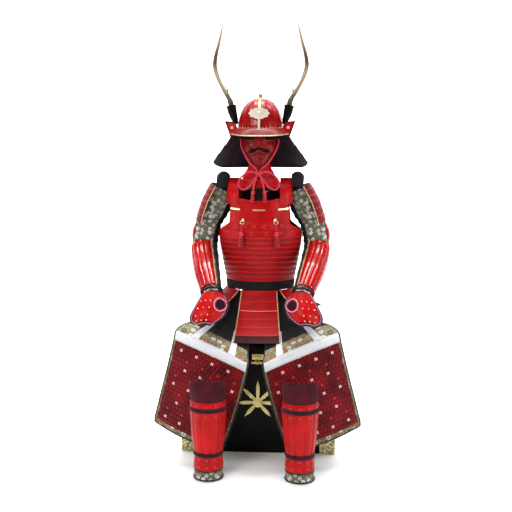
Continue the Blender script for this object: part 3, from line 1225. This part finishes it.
def makeThighGuards():
    us, vs = np.linspace(0.002, 0.998, 65), np.linspace(-0.047, 0.998, 120)  # it starts under the cuirass
    u, v = np.meshgrid(us, vs)
    fold = thighFolds(u, v)
    low, high = thigh["band"]
    for name, flip in pairs("thigh_cloth"):
        sheet = shell(name + "_brocade", thighPoint, us, vs, 1.9 + fold, fold,
            [creamBrocade, undyed, blackBraid, blackCloth], flip=flip, angle=80,
                      patch=lambda across, down: down < 0.24)
        settle(sheet, "brocade", name)
        declareSheet(sheet, "draped", "stand")

        # white leather strips over the lap
        strips = []
        for k, (a, b) in enumerate(thigh["strips"]):
            su, sv = np.linspace(a, b, 9), np.linspace(0.15, low - 0.004, 40)
            strip = shell(f"thigh_strip_{k}_{name.split('_')[-1]}", thighPoint, su, sv,
                          3.4 + thighFolds(*np.meshgrid(su, sv)), 1.6 + thighFolds(*np.meshgrid(su, sv)),
                              [whiteLeather], flip=flip)
            settle(strip, "white_leather")
            strips.append(strip)

    for name, flip in pairs("thigh_band"):
        us2, vs2 = np.linspace(thigh["edge"] - 0.015, 1 - thigh["edge"] + 0.015, 61), np.linspace(low, high,
            21)
        u2, v2 = np.meshgrid(us2, vs2)
        place = (v2 - low) / (high - low)
        crease = 0.35 * np.sin(40 * u2 + 3 * np.sin(12 * u2)) * np.sin(np.pi * place)
        bulge = 1.1 * (1 - np.abs(2 * place - 1) ** 6)
        band = shell(name + "_leather", thighPoint, us2, vs2, 3.4 + bulge + crease, 2.35, [whiteLeather],
            flip=flip, angle=60)
        settle(band, "white_leather", name)
        declareSheet(band, "stretched", f"thigh_cloth_{name[11:]}_brocade")
        for v0 in (low + 0.012, high - 0.012):  # a line of stitches along each edge
            u3 = np.linspace(0.05, 0.95, 62)
            stitch = domeTemplate(4.2, 1.1, 0.7, 4, 3, 0.2)
            made = makePiece(f"{name}_stitches_{'top' if v0 < 0.5 else 'foot'}",
                *scattered(framesOn(thighPoint, u3, np.full(62, v0), 4.5), stitch), [redBraid], flip=flip,
                merge=False)
            settle(made, "red_silk")

    # field of lacquered scales: overlapping rows, every other row set over by half
    spec = thigh["scale"]
    start, stop = high + 0.012, thigh["fieldEnd"]
    for name, flip in pairs("thigh_scales"):
        us2, vs2 = np.linspace(thigh["edge"], 1 - thigh["edge"], 41), np.linspace(high + 0.004, stop, 60)
        ground = shell(name + "_ground", thighPoint, us2, vs2, 3.4, 2.35, [maroonCloth], flip=flip)
        settle(ground, "red_lacquer", name)
        k, j = np.meshgrid(np.arange(spec["rows"]), np.arange(spec["columns"]), indexing="ij")
        u3 = (j + 0.5 + 0.5 * (k % 2)) / (spec["columns"] + 0.5)
        u3 = lerp(thigh["edge"] + 0.004, 1 - thigh["edge"] - 0.004, u3)
        v3 = lerp(start + 0.008, stop - 0.012, k / (spec["rows"] - 1))
        spot, across, up, out = framesOn(thighPoint, u3, v3, 3.6)
        lean = 0.16  # each foot stands proud over the next row's head
        up2 = unit(up - lean * out)
        frames = spot, across, up2, unit(np.cross(across, up2))
        plates = scattered(frames, domeTemplate(20.5, 23, spec["thick"], 7, 7, 0.6, 3.0, taper=0.42))
        settle(makePiece(name + "_plates", *plates, [crimsonScale], flip=flip, merge=False), "red_lacquer")
        knots = ((k % 4 == 1) & ((j + k // 2) % 4 == 1)).ravel()
        cross = joined([domeTemplate(4.6, 16, 2, 5, 5, 0.3, turn=a) for a in (0.8, -0.8)])
        ties = scattered(tuple(f[knots] for f in framesOn(thighPoint, u3, v3, 6.6)), cross)
        settle(makePiece(name + "_knots", *ties, [palePinkBraid], flip=flip, merge=False), "red_silk")
        dull = ((k % 4 == 3) & ((j + k // 2) % 4 == 0)).ravel()
        ties = scattered(tuple(f[dull] for f in framesOn(thighPoint, u3, v3, 6.3)), cross)
        settle(makePiece(name + "_small_knots", *ties, [redBraid], flip=flip, merge=False), "red_silk")

    # black binding round the whole edge and a beaded gold line inside it
    def outline(inset, v0, v1, count=260, closed=True):
        u0, u1 = inset, 1 - inset
        down, bulge = np.linspace(v0, v1, 80), np.linspace(0, 1, 40)
        corners = [thighPoint(np.full(80, u0), down), thighPoint(lerp(u0, u1, bulge), np.full(40, v1)),
            thighPoint(np.full(80, u1), down[::-1])]
        if closed:
            corners.append(thighPoint(lerp(u1, u0, bulge), np.full(40, v0)))
        line = np.concatenate(corners)[::3]
        return byLength(curveThrough(line), 1200)(np.linspace(0, 1, count))

    for name, flip in pairs("thigh_edge"):
        border = tubeParts(outline(0.004, 0.006, 0.994, 300, False), 4.2, 10, (0, 1, 0.25))
        settle(makePiece(name + "_binding", *border, [blackBraid], flip=flip, angle=60), "black_silk")
        v4 = np.linspace(high + 0.01, 0.978, 90)
        u4 = np.linspace(0.026, 0.974, 78)
        beads = [framesOn(thighPoint, np.full(90, s), v4, 3.6) for s in (0.021,
            0.979)] + [framesOn(thighPoint, u4, np.full(78, 0.982), 3.6)]
        spots = tuple(np.concatenate([b[i] for b in beads]) for i in range(4))
        settle(makePiece(name + "_beading", *scattered(spots, buttonTemplate(2.6, 2.4, 8, 3)), [oldGold],
            flip=flip, merge=False), "gilt")


makeThighGuards()
print("thigh guards sewn")

# greaves
greave = {"x": 203, "y": -512, "flapFoot": 358.7}
leg = [(0, 63, 60), (50, 59, 57), (108, 54, 52), (200, 66, 61), (300, 72, 66), (358, 71, 64), (460, 80, 46)]


# Round the leg: sine and cosine of the turn times the two half widths at that height
def legPoint(turn, z):
    a = np.asarray(turn) * 2 * np.pi
    return vec(greave["x"] + column(leg, z) * np.sin(a), greave["y"] - column(leg, z, 2) * np.cos(a), z)


# The greaves and what is tied and sewn to them
def makeGreaves():
    us = np.linspace(-7 / 16, 7 / 16, 61)
    vs = np.concatenate([np.linspace(0, 60, 31), np.linspace(68, 358, 16)])
    u, z = np.meshgrid(us, vs)
    crease = 1.1 * np.sin(z / 9 + 3 * np.sin(5 * u)) * (1 - smooth(z, 44, 60)) * smooth(z, 4, 14)
    for name, flip in pairs("greave_cloth"):
        tubeOf = shell(name + "_wrap", legPoint, us, vs, 2.7 + crease, 0, [greyBrocade, undyed, blackBraid],
            flip=flip, angle=80)
        settle(tubeOf, "brocade", name)
        declareSheet(tubeOf, "stretched")
        foot = np.linspace(-7 / 16, 7 / 16, 60)
        lines = [tubeParts(legPoint(foot, np.full(60, h)) + k * normalsOf(legPoint, foot, np.full(60, h)),
            r, 8, (0, 0, 1))
                 for h, k, r in ((5, 2.6, 3.4), (44, 4.4, 2.4))]
        sides = [tubeParts(legPoint(np.full(60, s), np.linspace(3, 355, 60)) + 1.5 * normalsOf(legPoint,
            np.full(60, s), np.linspace(3, 355, 60)), 2.6, 8, (1, 0, 0))
                 for s in (-7 / 16, 7 / 16)]
        settle(makePiece(name + "_binding", *joined(lines + sides), [blackBraid], flip=flip, angle=60),
            "black_silk")

    us = np.linspace(-5 / 16, 5 / 16, 85)
    vs = np.concatenate([np.linspace(48, 60, 7), np.linspace(68, 338, 30), np.linspace(346, 358, 7)])
    u, z = np.meshgrid(us, vs)
    inside = (u * 16 + 5) / 10 * 7 % 1
    rib = np.clip(np.sin(np.pi * inside), 0, 1) ** 0.5
    groove = np.clip(np.minimum(inside, 1 - inside) / 0.05, 0, 1)
    body = smooth(z, 48, 58) * (1 - smooth(z, 346, 357))
    lift = 5.75 + body * (3.0 * rib - 0.6 * (1 - groove))
    for name, flip in pairs("greave_plate"):
        plate = shell(name + "_splints", legPoint, us, vs, lift, 3.35, [scarlet, maroon, maroon], flip=flip)
        settle(plate, "red_lacquer", name)
        uu, zz = np.meshgrid((np.arange(7) + 0.5) / 7 * 10 / 16 - 5 / 16, [64, 96, 300, 342])
        heads = scattered(framesOn(legPoint, uu, zz, 8.2), buttonTemplate(2.8, 2.0))
        settle(makePiece(name + "_rivets", *heads, [oldGold], flip=flip), "gilt")
    for which, foot, top in (("upper", 314, 332), ("lower", 108, 128)):
        us, vs = np.linspace(0, 1, 121), np.linspace(foot, top, 11)
        u, z = np.meshgrid(us, vs)
        place = (z - foot) / (top - foot)
        crown = 3.6 * (1 - np.abs(2 * place - 1) ** 3 * 0.6) + 0.5 * np.sin(2 * np.pi * (9 * u + place)) * np.sin(np.pi * place)
        for name, flip in pairs(f"greave_tie_{which}"):
            tie = shell(name + "_cord", legPoint, us, vs, 8.6 + crown, 8.4, [plumCloth], ring=True,
                flip=flip, angle=60)
            settle(tie, "black_silk", name)

    def flapPoint(u, z):
        rise = np.clip((z - greave["flapFoot"]) / (446 - greave["flapFoot"]), 0, 1)
        return legPoint(u * (1 - 0.3 * rise * rise), z)

    us, vs = np.linspace(-4 / 16, 4 / 16, 61), np.linspace(greave["flapFoot"], 446, 49)
    u, z = np.meshgrid(us, vs)
    # quilted in slanting squares: the pad rises between two crossing families of sewn lines
    p, q = (u * 16 + (z - 402) / 15) * 0.9, (u * 16 - (z - 402) / 15) * 0.9
    pad = np.abs(np.sin(np.pi * p)) ** 0.5 * np.abs(np.sin(np.pi * q)) ** 0.5
    border = np.clip(np.minimum(4 / 16 - np.abs(u), 1) * 40, 0, 1) * np.clip((446 - z) / 4, 0, 1)
    for name, flip in pairs("knee_flap"):
        quilt = shell(name + "_quilt", flapPoint, us, vs, 3.4 + 3.2 * pad * border, 0,
            [quilted, plumCloth, blackBraid], flip=flip, angle=70)
        settle(quilt, "dark_red_lacquer", name)
        side = np.linspace(0, 1, 40)
        zs = lerp(greave["flapFoot"], 445, side)
        border2 = np.concatenate([flapPoint(np.full(40, -0.248), zs),
            flapPoint(np.linspace(-0.248, 0.248, 40), np.full(40, 445)),
            flapPoint(np.full(40, 0.248), zs[::-1])])
        border2 = byLength(curveThrough(border2[::4]))(np.linspace(0, 1, 120)) + (0, -2.5, 0)
        settle(makePiece(name + "_binding", *tubeParts(border2, 3.0, 8, (0, 1, 0)), [plumCloth], flip=flip,
            angle=60), "black_silk")


makeGreaves()
print("greaves tied")

# helmet
helmet = {"y": -10, "rimZ": 1530, "height": 156, "halfWidth": 108, "halfDepth": 122, "full": 0.86,
    "ribs": 16}


def bowlPoint(turn,
        fall):  # a dome: its section grows as the sine of the fall, drawn full by a power under one
    a, polar = np.asarray(turn) * 2 * np.pi, np.asarray(fall) * np.pi / 2
    spread = np.abs(np.sin(polar)) ** helmet["full"]
    return vec(helmet["halfWidth"] * spread * np.sin(a),
        helmet["y"] - helmet["halfDepth"] * spread * np.cos(a),
               helmet["rimZ"] + helmet["height"] * np.cos(polar))


# The helmet's bowl, from sixteen plates
def makeBowl():
    us, vs = np.linspace(0, 1,
        16 * 12 + 1), np.concatenate([[1, 0.995, 0.97, 0.965, 0.93, 0.925], np.linspace(0.9, 0.07, 40)])
    u, v = np.meshgrid(us, vs)
    phase = (u * helmet["ribs"] + 0.5) % 1 - 0.5
    crest = np.exp(-((phase / 0.06) ** 2))
    swell = 0.8 * np.cos(np.pi * phase) ** 2
    hem = (v > 0.965) * 1.8
    lift = 2.4 + crest * 2.4 * smooth(v, 0.1, 0.2) + swell * (1 - crest) * 0.5 + hem
    bowl = shell("helmet_bowl_plates", lambda a, b: bowlPoint(-a, b), us, vs, lift, 0,
        [helmetRed, plumBlack, maroon], ring=True)
    settle(bowl, "red_lacquer", "helmet_bowl")
    turns, falls = np.meshgrid((np.arange(16) + 0.5) / 16, [0.86, 0.72, 0.58, 0.44, 0.3])
    side = np.concatenate([turns - 0.32 / 16, turns + 0.32 / 16]).ravel()
    heads = scattered(framesOn(lambda a, b: bowlPoint(-a, b), side, np.tile(falls.ravel(), 2), 2.6),
        buttonTemplate(2.2, 1.8, 8, 3))
    settle(makePiece("helmet_rivets", *heads, [helmetRed], merge=False), "red_lacquer")
    # gilt strip up the middle of the front, and plates round the crown
    fall = np.linspace(0.93, 0.12, 60)
    strip = shell("helmet_front_strip", lambda a, b: bowlPoint(-a, b), np.linspace(-0.0085, 0.0085, 7),
        fall, 6.2, 2.6, [gilt], angle=50)
    settle(strip, "gilt")
    ring = shell("helmet_crown_plate", lambda a, b: bowlPoint(-a, b), np.linspace(0, 1, 97),
        np.linspace(0.2, 0.1, 6), 5.6, 2.6, [gilt], ring=True)
    settle(ring, "gilt")


# The helmet's peak over the brow
def makePeak():
    size = {"half": 0.184, "topZ": 1548, "lowZ": 1508, "out": 42, "side": 38, "lift": 13}

    def at(u, v):
        a = u * size["half"] * 2 * np.pi
        x = 111.5 + size["side"] * v
        y = 125.5 + size["out"] * v
        z = size["topZ"] - (size["topZ"] - size["lowZ"]) * np.clip(v, 1e-6,
            None) ** 1.4 + size["lift"] * u * u * v
        return vec(-x * np.sin(a), helmet["y"] - y * np.cos(a), z)

    us, vs = np.linspace(-1, 1, 81), np.linspace(0.002, 0.999, 30)
    u, v = np.meshgrid(us, vs)
    roll = 1.6 * smooth(v, 0.9, 0.97)
    peak = shell("helmet_peak_plate", at, us, vs, roll, -2.4, [crimson, plumBlack, crimson])
    settle(peak, "red_lacquer", "helmet_peak")
    u = np.linspace(-0.99, 0.99, 90)
    edge = at(u, np.full(90, 0.985)) + (0, 0, -0.8)
    settle(tube("helmet_peak_edge", edge, 2.6, [khakiGilt], side=(0, 0, 1)), "gilt")
    u3 = np.linspace(-0.93, 0.93, 15)
    heads = scattered(framesOn(at, u3, np.full(15, 0.1), 0.1), buttonTemplate(3.0, 2.4, 10, 4))
    settle(makePiece("helmet_peak_rivets", *heads, [gilt], merge=False), "gilt")


# Round the neck guard: it widens and drops in a straight blend from v = 0 to v = 1
def neckPoint(u, v):
    front = np.radians(lerp(66, 80, v))
    a = front + (2 * np.pi - 2 * front) * ((u + 1) / 2)
    low = lerp(1358, 1389, smooth(np.cos(a), -0.6, 0.3))
    return vec(lerp(113.6, 226, v) * np.sin(a), helmet["y"] - lerp(127.6, 205, v) * np.cos(a),
        lerp(1541, low, v))


# The neck guard's lames, lacing and turned ears
def makeNeckGuard():
    profile = [(0.0, 0.4), (0.02, 2.8), (0.07, 3.5), (0.14, 3.4), (0.28, 2.5), (0.6, 1.4), (0.985, 0.4)]
    edges = np.linspace(0.003, 0.997, 5)
    down, heights = lameRows(edges, profile)
    us = np.linspace(-1, 1, 121)

    def at(u, v):
        return neckPoint(-u, v)

    lift = 2.4 + heights[:, None] + 1.4 * smooth(np.abs(us), 0.972, 0.99)[None]
    skirt = shell("neck_guard_lames", at, us, down, lift, 0, [crimson, plumBlack, plumBlack])
    settle(skirt, "dark_red_lacquer", "neck_guard")
    spec = {"step": 7.4, "width": 6.6, "height": 27, "thick": 1.6}
    settle(makePiece("neck_guard_lacing", *braidRows(at, edges, 0.62, spec, 0.96, 3.4), [crimsonBraid],
        merge=False), "red_silk")
    u = np.linspace(-0.985, 0.985, 100)
    lines = [tubeParts(at(u, np.full(100, e)) + 6.0 * normalsOf(at, u, np.full(100, e)), 1.6, 6,
        (0, 0, 1)) for e in edges[:-1] + 0.012]
    settle(makePiece("neck_guard_edge_braid", *joined(lines), [roseBraid], angle=60), "red_silk")
    hem = [tubeParts(at(u, np.full(100, 0.992)) + 1.6 * normalsOf(at, u, np.full(100, 0.992)), 3.2, 8,
        (0, 0, 1))]
    settle(makePiece("neck_guard_hem", *joined(hem), [plumCloth], angle=60), "black_silk")

    ear = {"width": 40, "spread": 44, "from": 0.02, "to": 0.27}
    along = unit(np.array([0.34, 0.04, 0.93]))

    def onEar(u, v):
        wide = ear["width"] + ear["spread"] * (v - ear["from"]) / (ear["to"] - ear["from"])
        return neckPoint(np.full(np.shape(u), -0.985), v) + (wide * u)[..., None] * along + vec(0,
            5 * u * u, 0)

    for name, flip in pairs("turned_ear"):
        us2, vs2 = np.linspace(0.002, 0.998, 25), np.linspace(ear["from"], ear["to"], 31)
        leaf = shell(name, onEar, us2, vs2, 2.6, 0, [scarlet, scarlet, plumBlack], flip=flip)
        settle(leaf, "dark_red_lacquer", "neck_guard")
        side = np.linspace(0, 1, 30)
        v0 = lerp(ear["from"], ear["to"], side)
        border = np.concatenate([onEar(side, np.full(30, ear["from"])), onEar(np.full(30, 1.0), v0),
            onEar(side[::-1], np.full(30, ear["to"]))])
        border = byLength(curveThrough(border[::3]))(np.linspace(0, 1, 90)) - (0, 0.6, 0)
        settle(makePiece(name + "_binding", *tubeParts(border, 3.0, 8, (0, 1, 0)), [plumCloth], flip=flip,
            angle=60), "black_silk")
        petals = []
        flower = [domeTemplate(5.6, 12, 2.6, 5, 5, 0.2, turn=k * np.pi / 3) for k in range(3)]
        for sign in (1, -1):  # a studded rosette on both faces
            spot, across, up, out = framesOn(onEar, [0.55], [0.15], 2.9 if sign > 0 else -0.3)
            petals.append(scattered((spot, across * sign, up, out * sign),
                joined(flower + [buttonTemplate(3.4, 4.4, 10, 4)])))
        settle(makePiece(name + "_rosette", *joined(petals), [palePinkBraid], flip=flip, merge=False),
            "gilt")


# The antlers and their sockets
def makeAntlers():
    socket = byLength(curveThrough([(112.3, -30, 1568), (122.4, -36, 1592), (132, -39, 1622),
        (139, -40, 1656)]))
    ends = socket(np.array([0.999, 1.0]))
    up = unit(ends[1] - ends[0])
    base = ends[1] + up * 0.5
    beam = [tuple(base), tuple(base + 20 * up), (171, -24, 1724), (205, -4, 1790), (220, 2, 1846),
        (215, -2, 1890), (198, -10, 1952), (177.5, -23, 2038)]
    beamSize = [(0, 13), (0.03, 13.5), (0.08, 10.8), (0.3, 9.6), (0.48, 11), (0.7, 8.2), (0.9, 5.6),
        (0.97, 3.6), (1, 1.2)]
    tine = [(163, -30, 1704), (157, -40, 1718), (155, -48, 1740)]
    for name, flip in pairs("antler_socket"):
        t = np.linspace(0, 1, 33)
        step = 0.9 * (np.sin(t * 30) > 0.4) * (t > 0.3)
        cup = tubeParts(socket(t),
            column([(0, 7), (0.25, 16), (0.6, 20.5), (0.93, 22.5), (0.95, 24), (1, 24)], t) + step, 40,
            (0, 1, 0))
        settle(makePiece(name + "_cup", *cup, [black], flip=flip, angle=40), "black_lacquer", name)
    for name, flip in pairs("antler"):
        t = np.linspace(0, 1, 140)
        line = byLength(curveThrough(beam), 800)(t)
        points, faces, uv = tubeParts(line, column(beamSize, t), 24, (0, 1, 0))
        points = points.reshape(-1, 25, 3)
        turn = np.linspace(0, 2 * np.pi, 25)[None]
        tt = np.concatenate([[0], t, [1]])[:, None]
        # long grooves that wander round the beam, and small pearls near its foot
        furrow = 0.5 * np.sin(7 * turn + 9 * tt + 1.2 * np.sin(17 * tt)) * (1 - 0.6 * tt)
        pearl = 0.9 * np.clip(np.sin(5 * turn + 60 * tt) * np.sin(3 * turn - 85 * tt), 0,
            1) * (1 - smooth(tt, 0.1, 0.5))
        middle = np.concatenate([line[:1], line, line[-1:]])[:, None]
        away = points - middle
        size = np.linalg.norm(away, axis=-1, keepdims=True)
        bump = (furrow + pearl)[..., None] * (size > 1) * smooth(tt, 0.02, 0.06)[..., None]
        points = middle + away * (1 + bump / np.maximum(size, 1))
        s = np.linspace(0, 1, 40)
        branch = tubeParts(byLength(curveThrough(tine))(s),
            column([(0, 8), (0.5, 5.6), (0.85, 3.4), (1, 1)], s), 18, (0, 1, 0))
        top = branch[2].copy()
        top[:, 1] += 0.12
        whole = joined([(points.reshape(-1, 3), faces, uv), (branch[0], branch[1], top)])
        settle(makePiece(name + "_beam", *whole, [horn], flip=flip, angle=70), "antler_horn", name)


makeBowl()
makePeak()
makeNeckGuard()
makeAntlers()
print("helmet riveted")

# face mask
def makeMask():
    us, vs = np.linspace(-1, 1, 101), np.linspace(0.001, 0.999, 91)
    u, v = np.meshgrid(us, vs)

    def at(a, b):
        return facePoint(-a, b)

    lines = 0.9 * np.exp(-(((np.abs(u) - 0.27 - 0.25 * (v - 0.3)) / 0.05) ** 2)) * smooth(v, 0.22,
        0.3) * (1 - smooth(v, 0.5, 0.62))
    rim = 2.2 * (smooth(np.abs(u), 0.955, 0.98) + smooth(v, 0.955, 0.975) + (1 - smooth(v, 0.02, 0.04)))
    lift = 2.4 + faceRelief(-u, v) - lines + np.clip(rim, 0, 2.2)
    mask = shell("face_mask_plate", at, us, vs, lift, 0, [maskRed, plumBlack, maroon])
    settle(mask, "red_lacquer", "face_mask")

    # a dark moustache: short strands combed outwards from under the nose, in whole arrays
    rng = np.random.default_rng(11)
    count = 900
    start = rng.uniform(-0.3, 0.3, count)
    v0 = 0.375 + 0.02 * rng.standard_normal(count) + 0.12 * start**2
    side = np.sign(start) + (start == 0)
    s = np.linspace(0, 1, 5)[None]
    reach = rng.uniform(0.12, 0.2, count)[:, None]
    uu = start[:, None] + side[:, None] * reach * s
    vv = v0[:, None] + (0.05 + 0.16 * np.abs(start))[:, None] * s**1.6
    high = 3.0 + 1.6 * np.sin(np.pi * s) * rng.uniform(0.4, 1.3, count)[:, None]
    lifted = high + faceRelief(-uu, vv)
    spine = at(-uu, vv) + lifted[..., None] * normalsOf(at, -uu, vv)
    thick = 0.5 * (1 - 0.75 * s)[..., None, None]
    corner = np.arange(4) * 2 * np.pi / 3
    points = spine[:, :,
        None] + thick * (side[:, None, None, None] * vec(0 * corner, 0 * corner,
        np.sin(corner)) + vec(0 * corner, np.cos(corner), 0 * corner))
    faces = (gridFaces(5, 4)[None] + np.arange(count)[:, None, None] * 20).reshape(-1, 4)
    fur = makePiece("moustache", points.reshape(-1, 3), faces, np.zeros((count * 20, 2)), [whiskers],
        merge=False, angle=80)
    settle(fur, "black_silk")

    throat = {"top": 1372, "drop": 105, "turn": 58, "topX": 46, "outX": 116, "topY": 84, "outY": 106}

    def onThroat(u, v):
        a = math.radians(throat["turn"]) * -u
        rise = 16 * u * u * (1 - v)
        return vec(lerp(throat["topX"], throat["outX"], v) * np.sin(a),
            face["y"] - lerp(throat["topY"], throat["outY"], v) * np.cos(a),
                   throat["top"] - throat["drop"] * v + rise)

    profile = [(0.0, 0.4), (0.03, 2.4), (0.08, 2.9), (0.16, 2.8), (0.32, 2.1), (0.65, 1.2), (0.985, 0.4)]
    edges = np.linspace(0.003, 0.997, 4)
    down, heights = lameRows(edges, profile)
    us = np.linspace(-1, 1, 81)
    lift = 2.4 + heights[:, None] + 1.1 * smooth(np.abs(us), 0.96, 0.985)[None]
    bib = shell("throat_lames", onThroat, us, down, lift, 0, [scarlet, plumBlack, maroon])
    settle(bib, "red_lacquer", "face_mask")
    spec = {"step": 6.6, "width": 5.8, "height": 16, "thick": 1.4}
    settle(makePiece("throat_lacing", *braidRows(onThroat, edges, 0.6, spec, 0.95, 3.2), [crimsonBraid],
        merge=False), "red_silk")
    u = np.linspace(-0.96, 0.96, 60)
    lines = [tubeParts(onThroat(u, np.full(60, e)) + 5.6 * normalsOf(onThroat, u, np.full(60, e)), 1.5, 6,
        (0, 0, 1)) for e in edges[:-1] + 0.015]
    settle(makePiece("throat_edge_braid", *joined(lines), [roseBraid], angle=60), "red_silk")


makeMask()
print("mask carved")

# chest, stand and the plain hard pieces
chest = {"halfWidth": 362, "halfDepth": 220, "lidTop": 508.35, "lap": 9, "rimFoot": 434}
finishes = {
    "chest_body": black, "chest_lid": black, "chest_rail_left": chasedGilt, "chest_rail_right": chasedGilt,
    "chest_clasp": gilt, "chest_ornament": khakiGilt, "stand": bareWood, "chest_bar_left": paleGilt,
    "chest_bar_middle": paleGilt, "chest_bar_right": paleGilt, "helmet_finial": gilt,
        "helmet_crest": ivoryGilt,
}


# Solids that are shown as they are: only their looks are set
def dressPlainNodes():
    for name, look in finishes.items():
        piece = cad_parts[name]
        for slot in piece.material_slots:
            slot.material = look
        if not piece.material_slots:
            piece.data.materials.append(look)


def roundedBar(low, high, bulge=2.0):  # a board with rounded long edges: a superellipse carried along x
    low, high = np.array(low, float), np.array(high, float)
    turn = np.linspace(0, -2 * np.pi, 25)
    c, s = np.cos(turn), np.sin(turn)
    y, z = np.sign(c) * np.abs(c) ** 0.35, np.sign(s) * np.abs(s) ** 0.35
    middle, half = (low + high) / 2, (high - low) / 2
    x = np.array([low[0], low[0], low[0] + bulge, high[0] - bulge, high[0], high[0]])
    grow = np.array([0, 0.96, 1, 1, 0.96, 0])[:, None]
    points = vec(x[:, None], middle[1] + half[1] * y[None] * grow, middle[2] + half[2] * z[None] * grow)
    uv = np.stack(np.broadcast_arrays(x[:, None] / 1000, turn[None]), axis=-1)
    return points.reshape(-1, 3), gridFaces(6, 25), uv.reshape(-1, 2)


# Hasp, ring and nails of the chest
def makeChestFittings():
    y = chest["halfDepth"]
    front = -y - chest["lap"]
    clasp = [
        roundedBar((-19, front - 8.6, 468), (19, front - 5.2, 482)),
        roundedBar((-31, front - 3.4, 441), (31, front - 0.2, 452)),
    ]
    settle(makePiece("chest_hasp", *joined(clasp), [gilt], angle=50), "gilt")
    turn = np.linspace(0, 2 * np.pi, 33)
    ring = vec(11 * np.cos(turn), front - 7.5 + 0 * turn, 452 + 11 * np.sin(turn))
    ring[-1] = ring[0]
    settle(makePiece("chest_hasp_ring", *tubeParts(ring, 1.8, 10, (0, 1, 0), closed=True), [gilt],
        angle=60), "gilt")

    def onFront(u, v):  # the chest's front face: across, then up
        return vec(u, np.full(np.shape(u), -y - 6.7), v)

    u, v = np.meshgrid([300, 318, 336, 352], [9, 69])
    edge = np.stack([u.ravel(), v.ravel()], axis=1)
    edge = np.vstack([edge, [[303, 24], [303, 39], [303, 54]]])
    for name, flip in pairs("rail_nails"):
        nails = scattered(framesOn(onFront, edge[:, 0], edge[:, 1], 0.3), buttonTemplate(2.6, 1.8, 8, 3))
        settle(makePiece(name, *nails, [gilt], flip=flip, merge=False), "gilt")


dressPlainNodes()
makeChestFittings()
print("chest fitted")

# floor and light
def addStage():
    look, shader = newLook("pale_paper", roughness=0.85)
    grain = noise(look, onObject(look), 60, 4)
    link(look, ramp(look, grain, (0.3, (0.9, 0.9, 0.9)), (0.7, (0.93, 0.93, 0.93))),
        shader.inputs["Base Color"])
    # one sweep of paper: floor, a quarter round, then a wall
    t = np.linspace(0, 1, 60)
    reach = np.concatenate([[-6.0, -2.0], lerp(2.0, 4.0, t), [4.0]])
    run = np.clip((reach - 2.0) / 2.0, 0, 1)
    rise = 2.0 * (1 - np.sqrt(np.clip(1 - run**2, 0, 1)))
    rise[-1] = 7.0
    x, y = np.meshgrid(np.linspace(-6, 6, 3), reach)
    z = np.broadcast_to(rise[:, None], x.shape)
    points = vec(x, y, z - 0.0005).reshape(-1, 3) * 1000 - (0, setBack, 0)
    paper = makePiece("backdrop", points, gridFaces(len(reach), 3), np.zeros((len(points), 2)), [look],
        angle=60)


# A rectangular lamp that faces its aim
def addLight(name, at, aim, size, power, tint=(1, 1, 1)):
    data = bpy.data.lights.new(name, "AREA")
    data.shape = "RECTANGLE"
    data.size, data.size_y = size
    data.energy = power
    data.color = tint
    made = bpy.data.objects.new(name, data)
    made.location = at
    aimed = np.array(aim) - at
    flat = math.hypot(aimed[0], aimed[1])
    made.rotation_euler = (math.atan2(flat, -aimed[2]), 0, math.atan2(aimed[1], aimed[0]) - math.pi / 2)
    bpy.context.collection.objects.link(made)


# The lamps, the white world and the view transform
def addLights():
    addLight("key_softbox", (-1.9, -3.4, 3.3), (0, 0, 1.0), (1.1, 1.1), 78, (1, 0.97, 0.94))
    addLight("fill_softbox", (2.6, -3.2, 2.0), (0, 0, 0.9), (0.9, 1.5), 28)
    addLight("left_strip", (-2.5, -1.2, 1.3), (-0.2, 0, 0.9), (0.25, 1.9), 20)
    addLight("right_strip", (2.5, -1.0, 1.3), (0.2, 0, 0.9), (0.25, 1.9), 20)
    addLight("top_softbox", (0, 0.4, 4.0), (0, 0, 0.5), (1.6, 1.6), 42)
    addLight("back_wash", (0, 0.8, 4.6), (0, 4.0, 1.8), (5.0, 1.0), 420)
    addLight("floor_wash", (0, 0.9, 4.8), (0, 0.9, 0.0), (5.0, 1.2), 120)
    world = bpy.data.worlds.new("studio")
    world.use_nodes = True
    world.node_tree.nodes["Background"].inputs[0].default_value = (1, 1, 1, 1)
    world.node_tree.nodes["Background"].inputs[1].default_value = 0.22
    bpy.context.scene.world = world
    bpy.context.scene.view_settings.view_transform = "Standard"


addStage()
addLights()
print("stage lit")

print("boxes written")
